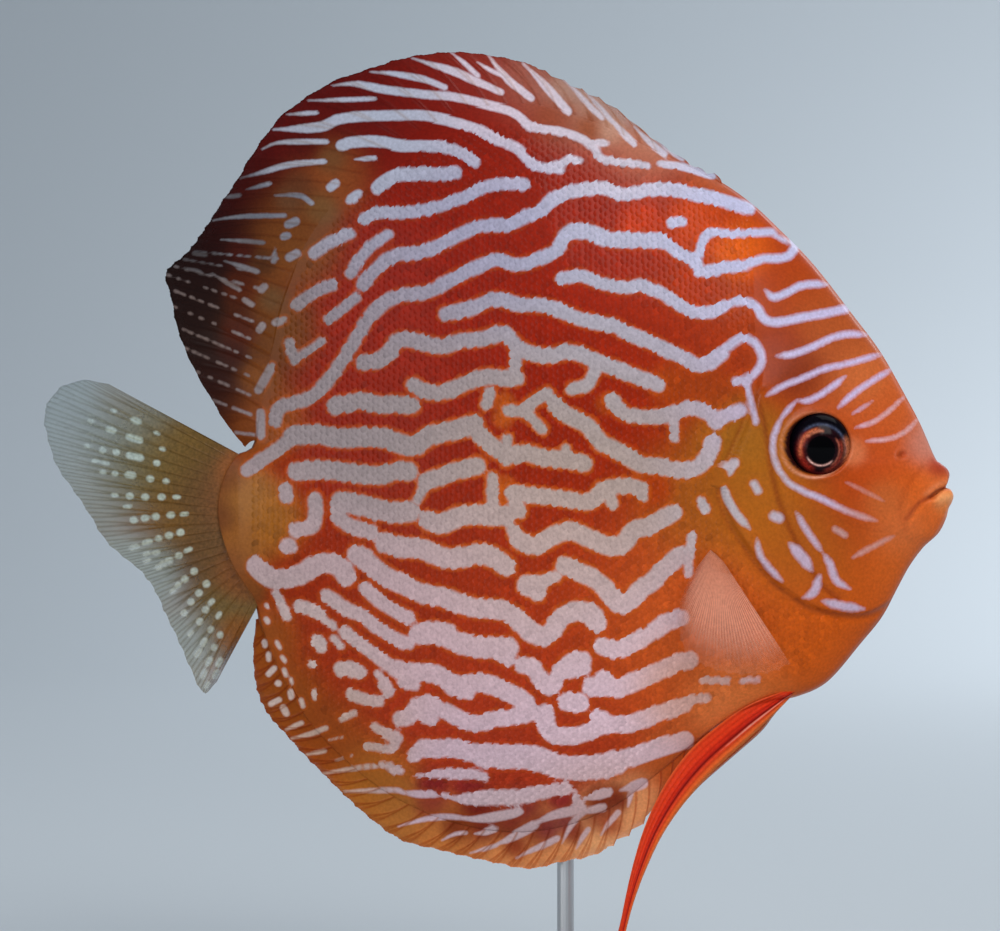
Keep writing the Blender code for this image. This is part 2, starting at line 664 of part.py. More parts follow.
def add_stand(body):
    """A wooden plinth, and a steel rod that passes beside the anal fin into the left side of the belly."""
    length, width, height = PLINTH_SIZE
    built = bmesh.new()
    bmesh.ops.create_cube(built, size=1.0)
    bmesh.ops.scale(built, vec=PLINTH_SIZE, verts=built.verts)
    upright = [e for e in built.edges if abs(e.verts[0].co.z - e.verts[1].co.z) > height / 2]
    bmesh.ops.bevel(built, geom=upright, offset=PLINTH_CORNER, segments=7, profile=0.5, affect="EDGES")
    top = [e for e in built.edges if min(v.co.z for v in e.verts) > height / 2 - MM / 10]
    bmesh.ops.bevel(built, geom=top, offset=PLINTH_EDGE, segments=2, profile=0.5, affect="EDGES")
    mesh = bpy.data.meshes.new("stand_base")
    built.to_mesh(mesh)
    built.free()
    mesh.materials.append(WOOD)
    plinth = bpy.data.objects.new("stand_base", mesh)
    plinth.location = (PLINTH_X, 0, height / 2)
    FISH.objects.link(plinth)

    foot = height - ROD_SEAT + GAP
    head = place(ROD_COLUMN, ROD_TOP_ROW)
    rod = rod_bar("stand_rod", ROD_RADIUS, foot, head.z, FISH)
    rod.data.materials.append(STEEL)
    bpy.context.view_layer.update()
    combine(plinth, "DIFFERENCE", [rod_bar("rod_seat", ROD_RADIUS + GAP, foot - GAP, head.z, TOOLS)])
    combine(body, "DIFFERENCE", [rod_bar("rod_hole", ROD_RADIUS + GAP, foot, head.z + GAP, TOOLS)])


def rod_bar(name, radius, bottom, top, collection):
    """An upright round bar where the stand's rod is."""
    built = bmesh.new()
    bmesh.ops.create_cone(
        built, cap_ends=True, segments=20, radius1=radius, radius2=radius, depth=top - bottom
    )
    x = place(ROD_COLUMN, ROD_TOP_ROW).x
    bmesh.ops.translate(built, vec=(x, ROD_Y, (top + bottom) / 2), verts=built.verts)
    mesh = bpy.data.meshes.new(name)
    built.to_mesh(mesh)
    built.free()
    bar = bpy.data.objects.new(name, mesh)
    collection.objects.link(bar)
    return bar


for old in list(bpy.data.objects):
    bpy.data.objects.remove(old)
FISH = bpy.data.collections.new("discus_fish")
TOOLS = bpy.data.collections.new("tools")
TOOLS.hide_render = True
for group in (FISH, TOOLS):
    bpy.context.scene.collection.children.link(group)

SKIN = paint("skin", (0.60, 0.10, 0.02), 0.35)
FIN_SKIN = paint("fin_skin", (0.42, 0.06, 0.02), 0.4)
TAIL_SKIN = paint("tail_skin", (0.42, 0.33, 0.16), 0.4)
PELVIC_SKIN = paint("pelvic_skin", (0.62, 0.05, 0.02), 0.4)
EYE = paint("eye", (0.03, 0.01, 0.01), 0.08)
WOOD = paint("plinth_wood", (0.12, 0.06, 0.03), 0.45)
STEEL = paint("rod_steel", (0.55, 0.55, 0.56), 0.3, 1.0)

head, body = part_flesh()
add_eyes(head)
add_face(head)
add_gill_covers()
add_midline_fins()
add_pectoral_fins()
add_pelvic_fin("pelvic_fin_right", PELVIC_NEAR, -1)
add_pelvic_fin("pelvic_fin_left", PELVIC_FAR, 1)
add_stand(body)
for shape in FISH.objects:
    shape.data.shade_smooth()
    shape.data.set_sharp_from_angle(angle=math.radians(40))
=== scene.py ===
import math

import bmesh
import bpy
import numpy as np
from mathutils import Matrix, Vector


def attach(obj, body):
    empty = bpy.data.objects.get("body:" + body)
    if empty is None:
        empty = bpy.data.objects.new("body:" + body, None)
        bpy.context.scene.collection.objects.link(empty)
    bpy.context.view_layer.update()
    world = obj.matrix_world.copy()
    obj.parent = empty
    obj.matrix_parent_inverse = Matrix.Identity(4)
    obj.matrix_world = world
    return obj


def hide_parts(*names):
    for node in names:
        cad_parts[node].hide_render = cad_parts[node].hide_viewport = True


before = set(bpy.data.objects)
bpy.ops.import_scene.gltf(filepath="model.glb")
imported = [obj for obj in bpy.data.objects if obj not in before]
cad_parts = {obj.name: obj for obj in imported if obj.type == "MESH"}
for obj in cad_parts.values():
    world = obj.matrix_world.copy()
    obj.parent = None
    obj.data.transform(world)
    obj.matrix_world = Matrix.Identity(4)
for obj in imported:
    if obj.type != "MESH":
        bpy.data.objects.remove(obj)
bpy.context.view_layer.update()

# Camera and light. The fish was photographed square on to its right flank, so the camera looks along +Y. The
# side drawing is laid out in the photograph's own squares, and the fish is 905 of them long.
MM = 0.001
FRAME_SIZE = (1000, 931)
FISH_LENGTH, FISH_SQUARES = 160 * MM, 905
SQUARE = FISH_LENGTH / FISH_SQUARES
MIDDLE_COLUMN, FLOOR_ROW = 499.7, 1064
VIEW_CENTRE = (FRAME_SIZE[0] / 2, FRAME_SIZE[1] / 2)
CAMERA_DISTANCE = 0.6
SENSOR = 36


def place(column, row, y=0.0):
    """Spots of the side drawing, at y, in metres."""
    column, row, y = np.broadcast_arrays(column, row, y)
    return np.stack([(column - MIDDLE_COLUMN) * SQUARE, y, (FLOOR_ROW - row) * SQUARE], axis=-1)


def show(name, data):
    """An object with the given data, put into the scene."""
    shown = bpy.data.objects.new(name, data)
    bpy.context.scene.collection.objects.link(shown)
    return shown


camera = show("camera", bpy.data.cameras.new("camera"))
camera.location = place(*VIEW_CENTRE, -CAMERA_DISTANCE)
camera.rotation_euler = (math.radians(90), 0, 0)
camera.data.sensor_width = SENSOR
camera.data.lens = SENSOR * CAMERA_DISTANCE / (FRAME_SIZE[0] * SQUARE)
camera.data.clip_start = 0.01
bpy.context.scene.camera = camera
bpy.context.scene.view_settings.view_transform = "Standard"


def soft_light(name, spot, size, power, tint, target=(0, 0, 0.1)):
    """A square softbox that looks at its target, which is mostly the middle of the fish."""
    lamp = bpy.data.lights.new(name, "AREA")
    lamp.size = size
    lamp.energy = power
    lamp.color = tint
    light = show(name, lamp)
    light.location = spot
    aim = Vector(target) - light.location
    light.rotation_euler = aim.to_track_quat("-Z", "Y").to_euler()


soft_light("key_light", (0.35, -0.75, 0.75), 0.5, 5.7, (1.0, 0.98, 0.95))
soft_light("fill_light", (-0.6, -0.8, 0.3), 0.6, 3.0, (0.96, 0.98, 1.0))
soft_light("top_light", (0.3, 0.15, 0.8), 0.5, 1.6, (1.0, 1.0, 1.0))
soft_light("rim_light", (0.8, 1.2, 0.9), 0.6, 1.8, (0.95, 0.98, 1.0))
soft_light("backdrop_light", (1.0, 1.1, 0.9), 0.5, 15.0, (0.97, 0.98, 1.0), (0.5, 1.6, 0.05))
world = bpy.data.worlds.new("studio")
bpy.context.scene.world = world
world.use_nodes = True
glow = world.node_tree.nodes["Background"].inputs
glow["Color"].default_value = (0.72, 0.78, 0.85, 1)
glow["Strength"].default_value = 0.32

# The floor is one pale matt sheet, as in a photo studio. It lies flat under the model and curves up behind
# it, and it belongs to the studio and not to the model.
FLOOR_FRONT, FLOOR_BACK, FLOOR_HALF = -2.0, 1.1, 3.0
SWEEP_RADIUS, SWEEP_TOP, SWEEP_STEPS = 1.6, 2.8, 48


def new_material(name, **values):
    """A material, its node tree and its Principled shader, with values set on the shader's sockets."""
    material = bpy.data.materials.new(name)
    material.use_nodes = True
    shader = material.node_tree.nodes["Principled BSDF"]
    for socket, value in values.items():
        shader.inputs[socket.replace("_", " ")].default_value = value
    return material, material.node_tree, shader


def join_mesh(name, points, faces, material):
    """A smooth mesh object from arrays of points and faces."""
    mesh = bpy.data.meshes.new(name)
    mesh.from_pydata(np.asarray(points).tolist(), [], np.asarray(faces).tolist())
    mesh.materials.append(material)
    mesh.shade_smooth()
    return show(name, mesh)


def grid_faces(rows, columns, start=0, closed=False):
    """The faces between neighbouring points of a grid."""
    across = columns if closed else columns - 1
    row, column = np.meshgrid(np.arange(rows - 1), np.arange(across), indexing="ij")
    here = start + row * columns + column
    right = start + row * columns + (column + 1) % columns
    return np.stack([here, right, right + columns, here + columns], axis=-1).reshape(-1, 4)


bend = np.linspace(0, math.pi / 2, SWEEP_STEPS)
sweep = [(FLOOR_FRONT, 0.0)]
sweep += [(FLOOR_BACK + SWEEP_RADIUS * math.sin(a), SWEEP_RADIUS * (1 - math.cos(a))) for a in bend]
sweep += [(FLOOR_BACK + SWEEP_RADIUS, SWEEP_TOP)]
floor_points = [(side * FLOOR_HALF, y, z) for y, z in sweep for side in (-1, 1)]
floor_paint, _, _ = new_material("floor_paint", Base_Color=(0.55, 0.61, 0.66, 1), Roughness=0.9)
floor = join_mesh("floor", floor_points, grid_faces(len(sweep), 2), floor_paint)

# The stand is a lacquered walnut base and a steel rod. The rod passes beside the anal fin and goes into the
# left side of the belly. Both are the CAD's own pieces, with grain and a brushed finish.


def srgb(red, green, blue):
    """A colour read from a screen, 0 to 255, as the linear one that the shader takes."""
    steps = np.array([red, green, blue]) / 255
    return np.where(steps < 0.04045, steps / 12.92, ((steps + 0.055) / 1.055) ** 2.4)


def add_node(tree, kind, links=None, **settings):
    """A shader node with its settings, and its inputs as plain values or as sockets to join."""
    node = tree.nodes.new(kind)
    for name, value in settings.items():
        setattr(node, name, value)
    for name, value in (links or {}).items():
        if isinstance(value, bpy.types.NodeSocket):
            tree.links.new(value, node.inputs[name])
        else:
            node.inputs[name].default_value = value
    return node


def own_spots(tree):
    """Where on its piece the paint lies."""
    return add_node(tree, "ShaderNodeTexCoord").outputs["Object"]


def stretched_spots(tree, stretch):
    """The same, stretched along each axis."""
    return add_node(tree, "ShaderNodeMapping", {"Vector": own_spots(tree), "Scale": stretch}).outputs[0]


def specks(tree, spots, scale, detail, twist=0.0):
    """An uneven pattern, mostly near the middle between 0 and 1."""
    links = {"Vector": spots, "Scale": scale, "Detail": detail, "Distortion": twist}
    return add_node(tree, "ShaderNodeTexNoise", links).outputs["Fac"]


def rescaled(tree, value, low, high, to_low=0.0, to_high=1.0):
    """A number that runs from low to high, made to run between two others and held there."""
    links = {"Value": value, "From Min": low, "From Max": high, "To Min": to_low, "To Max": to_high}
    return add_node(tree, "ShaderNodeMapRange", links).outputs[0]


def pitted(tree, shader, height, strength, depth):
    """Lets the surface catch the light as if it rose and fell with height."""
    links = {"Height": height, "Strength": strength, "Distance": depth}
    tree.links.new(add_node(tree, "ShaderNodeBump", links).outputs[0], shader.inputs["Normal"])


def cover(node, material):
    """Gives a CAD node its finish."""
    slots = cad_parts[node].data.materials
    slots.clear()
    slots.append(material)


GRAIN_TONES = [(0.32, srgb(52, 31, 20)), (0.68, srgb(105, 66, 41))]
walnut, tree, shader = new_material("walnut", Roughness=0.38, Coat_Weight=0.35, Coat_Roughness=0.15)
along = stretched_spots(tree, (9, 70, 70))
tones = add_node(tree, "ShaderNodeValToRGB", {"Fac": specks(tree, along, scale=3.0, detail=8.0, twist=1.2)})
for stop, (at, tone) in zip(tones.color_ramp.elements, GRAIN_TONES):
    stop.position = at
    stop.color = (*tone, 1)
tree.links.new(tones.outputs["Color"], shader.inputs["Base Color"])
pitted(tree, shader, specks(tree, along, scale=22.0, detail=3.0), strength=0.15, depth=0.2 * MM)
cover("stand_base", walnut)

steel, tree, shader = new_material("satin_steel", Base_Color=(0.56, 0.56, 0.57, 1), Metallic=1.0)
brushing = specks(tree, stretched_spots(tree, (4000, 4000, 120)), scale=1.0, detail=2.0)
tree.links.new(rescaled(tree, brushing, 0.0, 1.0, to_low=0.22, to_high=0.42), shader.inputs["Roughness"])
cover("stand_rod", steel)

# Head, body and the tail's stem are one taut skin over bone and muscle, with the gill covers as plates under
# it. It is drawn as rings round the middle of the flank, out to the fish's outline. How thick the fish is
# comes from how far out a spot lies, and the lips and folds of the face are raised in the skin.
FLESH_CENTRE = (575, 455)
# The outline from the mouth over the back and round to the mouth again: column, row, half the thickness of
# the edge in mm, and how sharply the flank falls to it
UPPER_MOUTH = [
    (943.5, 487, 1.0, 0.55), (946, 481, 1.2, 0.55), (947.3, 474, 1.2, 0.55), (944.3, 468, 1.2, 0.55),
    (938, 463, 1.1, 0.55), (932.5, 457, 1.0, 0.55),
]
BACK = [
    (918, 424, 0.9, 0.57), (901, 392, 0.9, 0.60), (878, 352, 0.9, 0.62), (851, 316, 0.9, 0.64),
    (812, 266, 0.9, 0.66), (778, 231, 0.9, 0.70), (750, 205, 1.0, 0.74), (715, 181, 1.1, 0.78),
    (655, 151, 1.3, 0.82), (590, 121, 1.4, 0.85), (525, 103, 1.5, 0.85), (455, 112, 1.5, 0.85),
    (390, 148, 1.5, 0.85), (338, 193, 1.5, 0.85), (302, 243, 1.4, 0.85), (279, 300, 1.4, 0.85),
    (266, 360, 1.3, 0.82), (259, 412, 1.2, 0.80),
]
TAIL_STEM = [
    (255, 446, 1.2, 0.70), (237, 456, 1.1, 0.60), (224, 478, 1.0, 0.55), (218, 508, 1.0, 0.55),
    (223, 538, 1.0, 0.55), (235, 568, 1.1, 0.55), (256, 601, 1.2, 0.60),
]
BELLY = [
    (262, 625, 1.2, 0.80), (275, 660, 1.3, 0.82), (298, 706, 1.4, 0.85), (335, 750, 1.4, 0.85),
    (383, 790, 1.5, 0.85), (440, 818, 1.5, 0.85), (500, 831, 1.5, 0.85), (555, 828, 1.5, 0.85),
    (610, 808, 1.4, 0.85), (655, 775, 1.3, 0.82), (697, 740, 1.3, 0.78), (735, 713, 1.5, 0.72),
    (770, 699, 2.0, 0.64), (795, 695, 2.0, 0.60), (826, 680, 1.4, 0.56), (859, 642, 1.1, 0.55),
    (880, 616, 1.0, 0.55), (895, 588, 1.0, 0.55), (907, 566, 1.0, 0.55), (921, 547, 1.0, 0.55),
    (936, 533, 1.1, 0.55),
]
LOWER_MOUTH = [
    (943.5, 519, 1.2, 0.55), (946.5, 508, 1.2, 0.55), (949.7, 502, 1.2, 0.55), (951.3, 495.5, 1.2, 0.55),
    (948.5, 489.5, 1.2, 0.55), (945, 488, 1.0, 0.55),
]
# What takes the place of the lips and of the tail's stem where only the flank's own roundness counts
SHUT_MOUTH = [(951, 497, 1.2, 0.55), (951, 484, 1.2, 0.55), (945, 468, 1.1, 0.55), (934, 454, 1.0, 0.55)]
WITHOUT_STEM = [(253, 460, 1.2, 0.82), (248, 524, 1.2, 0.82), (256, 590, 1.2, 0.82)]
# Half width of the flank and of the tail's stem inside it: column, then mm
FLANK_WIDTH = [
    (218, 5.4), (300, 8.4), (400, 11.2), (500, 13.0), (600, 14.0), (700, 14.3), (800, 14.0),
    (900, 13.5), (950, 12.0),
]
STEM_WIDTH = [(216, 1.0), (226, 2.2), (240, 3.6), (262, 5.0), (300, 6.0), (350, 5.0), (420, 0.0)]
STEM_ROW, STEM_HALF_HEIGHT = 523, 82
FLANK_ROUNDNESS, STEM_BLEND = 2.2, 5
THINNEST_HALF = 0.5
FINE_STEPS, LINE_STEPS = 12, 8


def smooth_line(points, steps, closed=False):
    """Points on the smooth curve through the given ones, steps to a span."""
    known = np.array(points, float)
    if closed:
        known = np.vstack([known[-1:], known, known[:2]])
    else:
        known = np.vstack([2 * known[0] - known[1], known, 2 * known[-1] - known[-2]])
    t = (np.arange(steps) / steps)[None, :, None]
    before, start, end, after = (known[k:len(known) - 3 + k, None] for k in range(4))
    line = 0.5 * (2 * start + (end - before) * t + (2 * before - 5 * start + 4 * end - after) * t ** 2
                  + (3 * start - before - 3 * end + after) * t ** 3)
    line = line.reshape(-1, known.shape[1])
    return line if closed else np.vstack([line, known[-2:-1]])


def run_of(line):
    """How far along a line each of its points lies."""
    return np.concatenate([[0], np.cumsum(np.hypot(*np.diff(line[:, :2], axis=0).T))])


class Outline:
    """A closed outline round the middle of the flank, asked by direction."""

    def __init__(self, points):
        self.line = smooth_line(points, FINE_STEPS, closed=True)
        across, down = (self.line[:, :2] - FLESH_CENTRE).T
        angle = np.arctan2(down, across)
        order = np.argsort(angle)
        self.angle = angle[order]
        self.reach = np.hypot(across, down)[order]
        self.edge = self.line[order, 2]
        self.taper = self.line[order, 3]

    def at(self, angle, values):
        """The outline's own values, such as its reach, in other directions."""
        return np.interp(angle, self.angle, values, period=2 * math.pi)

    def share(self, column, row):
        """How far out from the middle a spot lies, and its direction. The outline is at 1."""
        across, down = column - FLESH_CENTRE[0], row - FLESH_CENTRE[1]
        angle = np.arctan2(down, across)
        return np.hypot(across, down) / self.at(angle, self.reach), angle


rim = Outline(UPPER_MOUTH + BACK + TAIL_STEM + BELLY + LOWER_MOUTH)
flank_rim = Outline(SHUT_MOUTH + BACK + WITHOUT_STEM + BELLY)


def half_width(column, row):
    """Half the thickness of head and body in mm, before the face's own features."""
    share, angle = flank_rim.share(column, row)
    edge = flank_rim.at(angle, flank_rim.edge)
    full = np.interp(column, *zip(*FLANK_WIDTH))
    fall = np.clip(1 - np.clip(share, 0, 1) ** FLANK_ROUNDNESS, 0, 1) ** flank_rim.at(angle, flank_rim.taper)
    flank = edge + (full - edge) * fall
    height = np.clip(1 - ((row - STEM_ROW) / STEM_HALF_HEIGHT) ** 2, 0, 1)
    stem = np.interp(column, *zip(*STEM_WIDTH)) * np.sqrt(height)
    return (flank ** STEM_BLEND + stem ** STEM_BLEND) ** (1 / STEM_BLEND)


# The features of the face, each a line or a ring that lifts or sinks the skin
FACE_START = 690
EYE_SPOT, EYE_RING, EYE_RIM_RISE, SOCKET_DEPTH = (813.5, 445), 30.3, 0.35, 3.0
NOSTRIL, NOSTRIL_RIM_RISE, NOSTRIL_DEPTH = (899, 455), 0.22, 0.8
GILL_COVER_RISE, GILL_GROOVE_DEPTH = 0.75, 0.35
GILL_EDGE = [
    (757, 330), (755, 372), (747, 412), (730, 453), (717, 483), (726, 518), (745, 548), (764, 573),
    (792, 596), (824, 610), (862, 613), (892, 600),
]
CHEEK_EDGE = [(756, 395), (765, 428), (771, 468), (778, 498), (789, 527), (802, 552), (820, 583), (838, 599)]
UPPER_LIP = [(950, 482), (941, 483.5), (933, 488), (926, 494)]
LOWER_LIP = [(951, 497), (942, 498), (934, 501)]
MOUTH_LINE = [(955, 487.5), (944, 488), (936, 491.5), (929.5, 497)]
MOUTH_FOLD = [(929.5, 497), (920, 502), (913, 509), (906, 519)]
JAW_FOLD = [(921, 468), (909, 482), (902, 498), (900, 513), (906, 530)]
# Ridges and grooves of the face: the line they follow, their height in mm, how far beside it, and how wide
FACE_FOLDS = [
    (CHEEK_EDGE, -0.30, 0, 3.2), (CHEEK_EDGE, 0.15, 7, 5), (UPPER_LIP, 0.35, 0, 3.5),
    (LOWER_LIP, 0.65, 0, 5.5), (MOUTH_FOLD, -0.4, 0, 2.4), (MOUTH_LINE, -1.1, 0, 1.6),
    (JAW_FOLD, -0.10, 0, 3.0),
]


def from_span(column, row, start, end):
    """How far spots lie from a straight span of a line, how far along it from 0 to 1, and on which side."""
    along_u, along_v = end - start
    right, down = column - start[0], row - start[1]
    t = np.clip((right * along_u + down * along_v) / (along_u ** 2 + along_v ** 2), 0, 1)
    side = np.sign(along_v * right - along_u * down)
    return np.hypot(right - t * along_u, down - t * along_v), t, side


def from_line(line, column, row):
    """Distance of spots from a line, and which side they lie on: + is to the line's left as drawn."""
    points = smooth_line(line, LINE_STEPS)
    best = np.full(column.shape, np.inf)
    side = np.zeros(column.shape)
    for start, end in zip(points, points[1:]):
        distance, _, turn = from_span(column, row, start, end)
        side = np.where(distance < best, turn, side)
        best = np.minimum(distance, best)
    return best, side


def step(low, high, value):
    """A smooth rise from 0 at low to 1 at high."""
    t = np.clip((value - low) / (high - low), 0, 1)
    return t * t * (3 - 2 * t)


def bell(distance, width):
    """1 in the middle, and falling smoothly to nothing on both sides."""
    return np.exp(-(distance / width) ** 2)


def face_relief(column, row):
    """How far the face's features stand out from the plain skin, in mm."""
    gill, gill_side = from_line(GILL_EDGE, column, row)
    ahead = np.where(gill_side > 0, gill, -gill)
    cover = step(-0.8, 2.2, ahead) * (1 - step(4, 70, ahead)) * step(335, 400, row)
    relief = GILL_COVER_RISE * cover - GILL_GROOVE_DEPTH * bell(ahead + 3.5, 3) * step(350, 400, row)
    for line, height, beside, width in FACE_FOLDS:
        relief += height * bell(from_line(line, column, row)[0] - beside, width)
    eye = np.hypot(column - EYE_SPOT[0], row - EYE_SPOT[1])
    relief += EYE_RIM_RISE * bell(eye - EYE_RING - 3.5, 3.5)
    relief -= SOCKET_DEPTH * step(EYE_RING + 1.5, EYE_RING - 4, eye)
    nostril = np.hypot(column - NOSTRIL[0], row - NOSTRIL[1])
    return relief + (NOSTRIL_RIM_RISE * bell(nostril - 5.5, 2.2) - NOSTRIL_DEPTH * bell(nostril, 3.0))


def skin_width(column, row):
    """Half the thickness of the skin with the face's features, in metres."""
    width = half_width(column, row)
    on_face = column > FACE_START
    width[on_face] += face_relief(column[on_face], row[on_face])
    return np.maximum(width, THINNEST_HALF) * MM


# The markings are pale stripes and spots on red. Each row below is one stripe: its width, then the places it
# passes through on the right flank, as column,row. A row that starts with a space carries on the one above.
FLANK_STRIPES = """
11 342,146 352,143 368,142 385,143 400,146 420,146 440,146.5 456,151 468,157 475,162
13.5 378,187 386,181 396,176 410,174.5 426,174 442,174 455,173
12 364,219 378,213 400,213 420,211 440,206 460,199 478,191 492,185 508,184 524,184
12 314,253 331,242 350,234
11 351,273 362,256 375,244 388,235
13 363,285 371,275 381,265 394,256 410,254 426,251 442,244 460,235 478,227 494,225 510,225 526,217 540,211
 549,203 560,196 575,191 590,189 604,188 614,192 625,195 640,192 660,189 680,191 700,195 720,200 740,206
 749,209
12 297,305 311,294 332,285
10 329,319 343,309 356,297
13 276,421 278,411 285,405 300,402 312,396 322,388 331,377 340,365 350,350 360,333 370,317 382,305 396,297
 415,294 432,291 444,284 460,276 480,266 498,260 516,265 532,262 548,255 560,247 565,236 573,231
15.5 573,231.5 588,232 600,236.5 610,239.5 622,240 640,240.5 655,240.5 661,241
11.5 661,241 668,245 675,251 683,255.5 692,258 697,264 699,271 706,272 714,270.5 724,267.5 734,267
 744,265.5
9 744,265 754,262 764,258.5 776,258.5 788,256 795,247 793,240
8.5 700,254 702,244 706,236 712,232 720,232.5 730,234.5 740,233.5 750,233 760,232.5 772,232
10.5 672.5,223 682,221.5
7 660,164 683,167 712,176
10 289,343 295,360
8 295,360 322,341
8 259,390 272,367
8 261,436 261,413
12 562,279 572,277 582,276 596,282 612,286 626,288 640,286 652,289 664,295 676,303 688,310 700,313 712,312
 724,307
9 724,307 738,301 750,303 758,309 763,318 772,322 786,321 804,317 822,314 845,309
14 446,314 462,311 478,306 492,300 506,301 520,305 536,305 552,308 566,313 580,319 598,323 614,326 626,332
 640,338 656,345 670,352 684,358 698,365 710,363 722,354
8 718,356 731,345 742,338 752,340 759,349 762,360 757,371 749,378
9 736,381 748,381
6 747,384 750,398 756,422
15 364,363 380,360 390,352 396,343 405,339 420,342 434,346 446,346 460,341 476,340 490,337 502,333 512,340
 520,349 534,354 550,356 566,352 580,354 594,361 608,366 622,371 636,377 650,381 658,385
12 572,389 586,386 593,376 596,366
17 336,406 350,403 364,401 380,405 398,404 412,406
15 414,385 424,391 438,393 452,390 466,384 480,378 494,377 508,379 517,378
11 516,345 516,378
13 247,470 262,460 278,449 290,440
19 293,436 308,435 322,435 336,438 352,438 370,437 384,438 396,442 408,446 418,445 428,437 440,433 452,431
 466,427 474,424
12 487,404 490,393
18 297,472 320,470 345,472 365,475 382,475 398,471 409,471
17 427,482 440,477 454,472 466,469 477,466
9 424,488 418,500
16 478,432 488,442 500,452 512,456 526,453 540,457 556,459 570,460 584,464
10 508,438 507,462
8 566,448 566,456
12 508,410 522,411 534,402 548,393
10 524,412 535,421 543,430
16 555,404 562,412 574,418 586,424 594,433 602,443 616,450 630,458 644,465 660,466 676,470 690,470 702,464
 710,453 713,442
14 612,400 620,410 632,416 648,417 664,416 678,412 692,408 704,411 716,418 728,415 740,410
12 714,422 718,424
9 674,418 675,438
13 286,489 287,497
14 315,499 316,514 312,526 297,530
20 342,502 356,504 372,508 390,512 410,512
14 338,502 339,516 348,525 362,530 371,532
11 493,478 493,505
19 429,521 442,524 456,518 472,515 488,515 506,516
15 513,493 530,495 548,497 566,499 582,502 594,500 602,490 614,487 630,486 641,489
13 515,498 520,512
10 611,494 613,504
10 642,490 643,497
19 385,543 400,547 416,548 432,553 448,559 464,557 480,554 494,558 506,566
12 514,530 518,540
17 520,541 534,546 546,541 558,534 572,531 586,537 600,543 616,547 626,541 634,531 648,527 662,520 674,513
17 565,566 578,571 592,578 604,587 613,598 622,605 632,600 640,590 652,582 662,572 672,562 680,555
12 640,592 654,582
20 528,586 538,586
10 545,580 556,577
14 533,590 538,594
15 288,546 289,546
18 256,566 264,574 276,579 290,578 304,573 316,565 330,563 341,568 347,577
18 357,554 366,560 377,570 390,579 402,584 414,590 428,595 442,597 456,602 470,607 486,609 500,610 512,615
 522,624 532,633 543,637 552,631 560,620 570,613 582,611 592,614 597,623
12 366,588 376,598 388,607 400,614 409,618
12 327,596 338,603 350,611 362,615 374,625 386,633 400,641 408,643
20 420,634 434,633 446,637 460,643 476,647 492,648 508,648
16 436,630 448,632
12 500,655 508,660
8 276.5,594 281,603 288,617
11.5 300,606 311,610 319,614
6 321,616 334,626
5 333,638 342,647
12.5 318,641 321,646
11.5 346,632 355,640 366,648 378,657 390,666
17 397,669 407,672 418,673 432,673 446,680 460,685 474,683 488,684 502,690 514,695 524,702 530,712
12 404,682 414,684
14 452,688 468,692
14 342,669.5 351,669 359,672
6 378,674 383,682
11 385,685 389,692
10 352,694.5 362,699 372,701 379,702
6 311.5,664 313.5,664.5
5.5 343,719 354,714
15 401,719 409,716 417,707 428,703 440,709 452,715 466,722 482,723 496,719 510,718 524,716
12 424,716 432,719
6 374,726 381,731
10 386,733 398,738
7 396,744 391,750
6.5 367,746.5 377,747.5 388,750
13 414,756 420,749
17 424,748 436,749 452,748 468,752 484,755
23 484,756 504,757 524,757 542,761 560,767 580,768 600,767 616,763
17 616,762 636,756 656,749 672,744 685,740
6.5 391,768 401,771
15 522,665 533,668 541,680 550,688 557,678 564,668 574,660 584,660
14 566,672 584,668
18 568,702 580,703
16 546,713 546,724 552,734 566,736 580,735 594,729 610,725 628,724 644,719 660,713 676,708 684,705
12 597,716 604,718
17 592,687 606,687 620,688 636,681 650,676 664,669 678,663 690,660
14 604,678 608,682
16 602,646 616,650 630,645 644,638 656,630 668,622 682,618
9 682,702 708,698
8 693,536 690,554 689,574
9 702,501 706,510
7 704,680 728,681
6 742,681 757,680
"""
FACE_STRIPES = """
8 765,290 774,297 788,292 800,286 814,284 828,285
7 776,356 793,354 812,347 834,337 851,334 867,335
6 766,396 783,386 803,378 824,369 846,364 882,354
6 797,400 806,401 820,395 833,386 846,376
6 838,408 851,396 869,383 892,369
5 797,400 787,411 778,422
6 782,416 774,436 773,452 778,468 788,482
6.2 778,468 788,482 803,491 820,498 836,506 852,513 877,521
10 728,471 734,463
8 722,482 728,500 738,516 750,529
6.5 757,538 760,555 771,570 783,582
10 774,516 779,518
11 789,543 802,557 812,571
9 820,574 814,592 803,598
8 754,484 758,491
6.5 796,512 809,534 823,553
7.5 823,553 830,564 836,580 850,589
6 835,529 845,535
5 852,558 872,547 894,536
9 822,601 843,606 864,609
3 846,482 860,489 884,501
3 852,414 862,408 873,401
4 855,428 873,422 888,412 905,396
4 866,441 888,439 905,432 919,418
5 776,236 786,241
"""
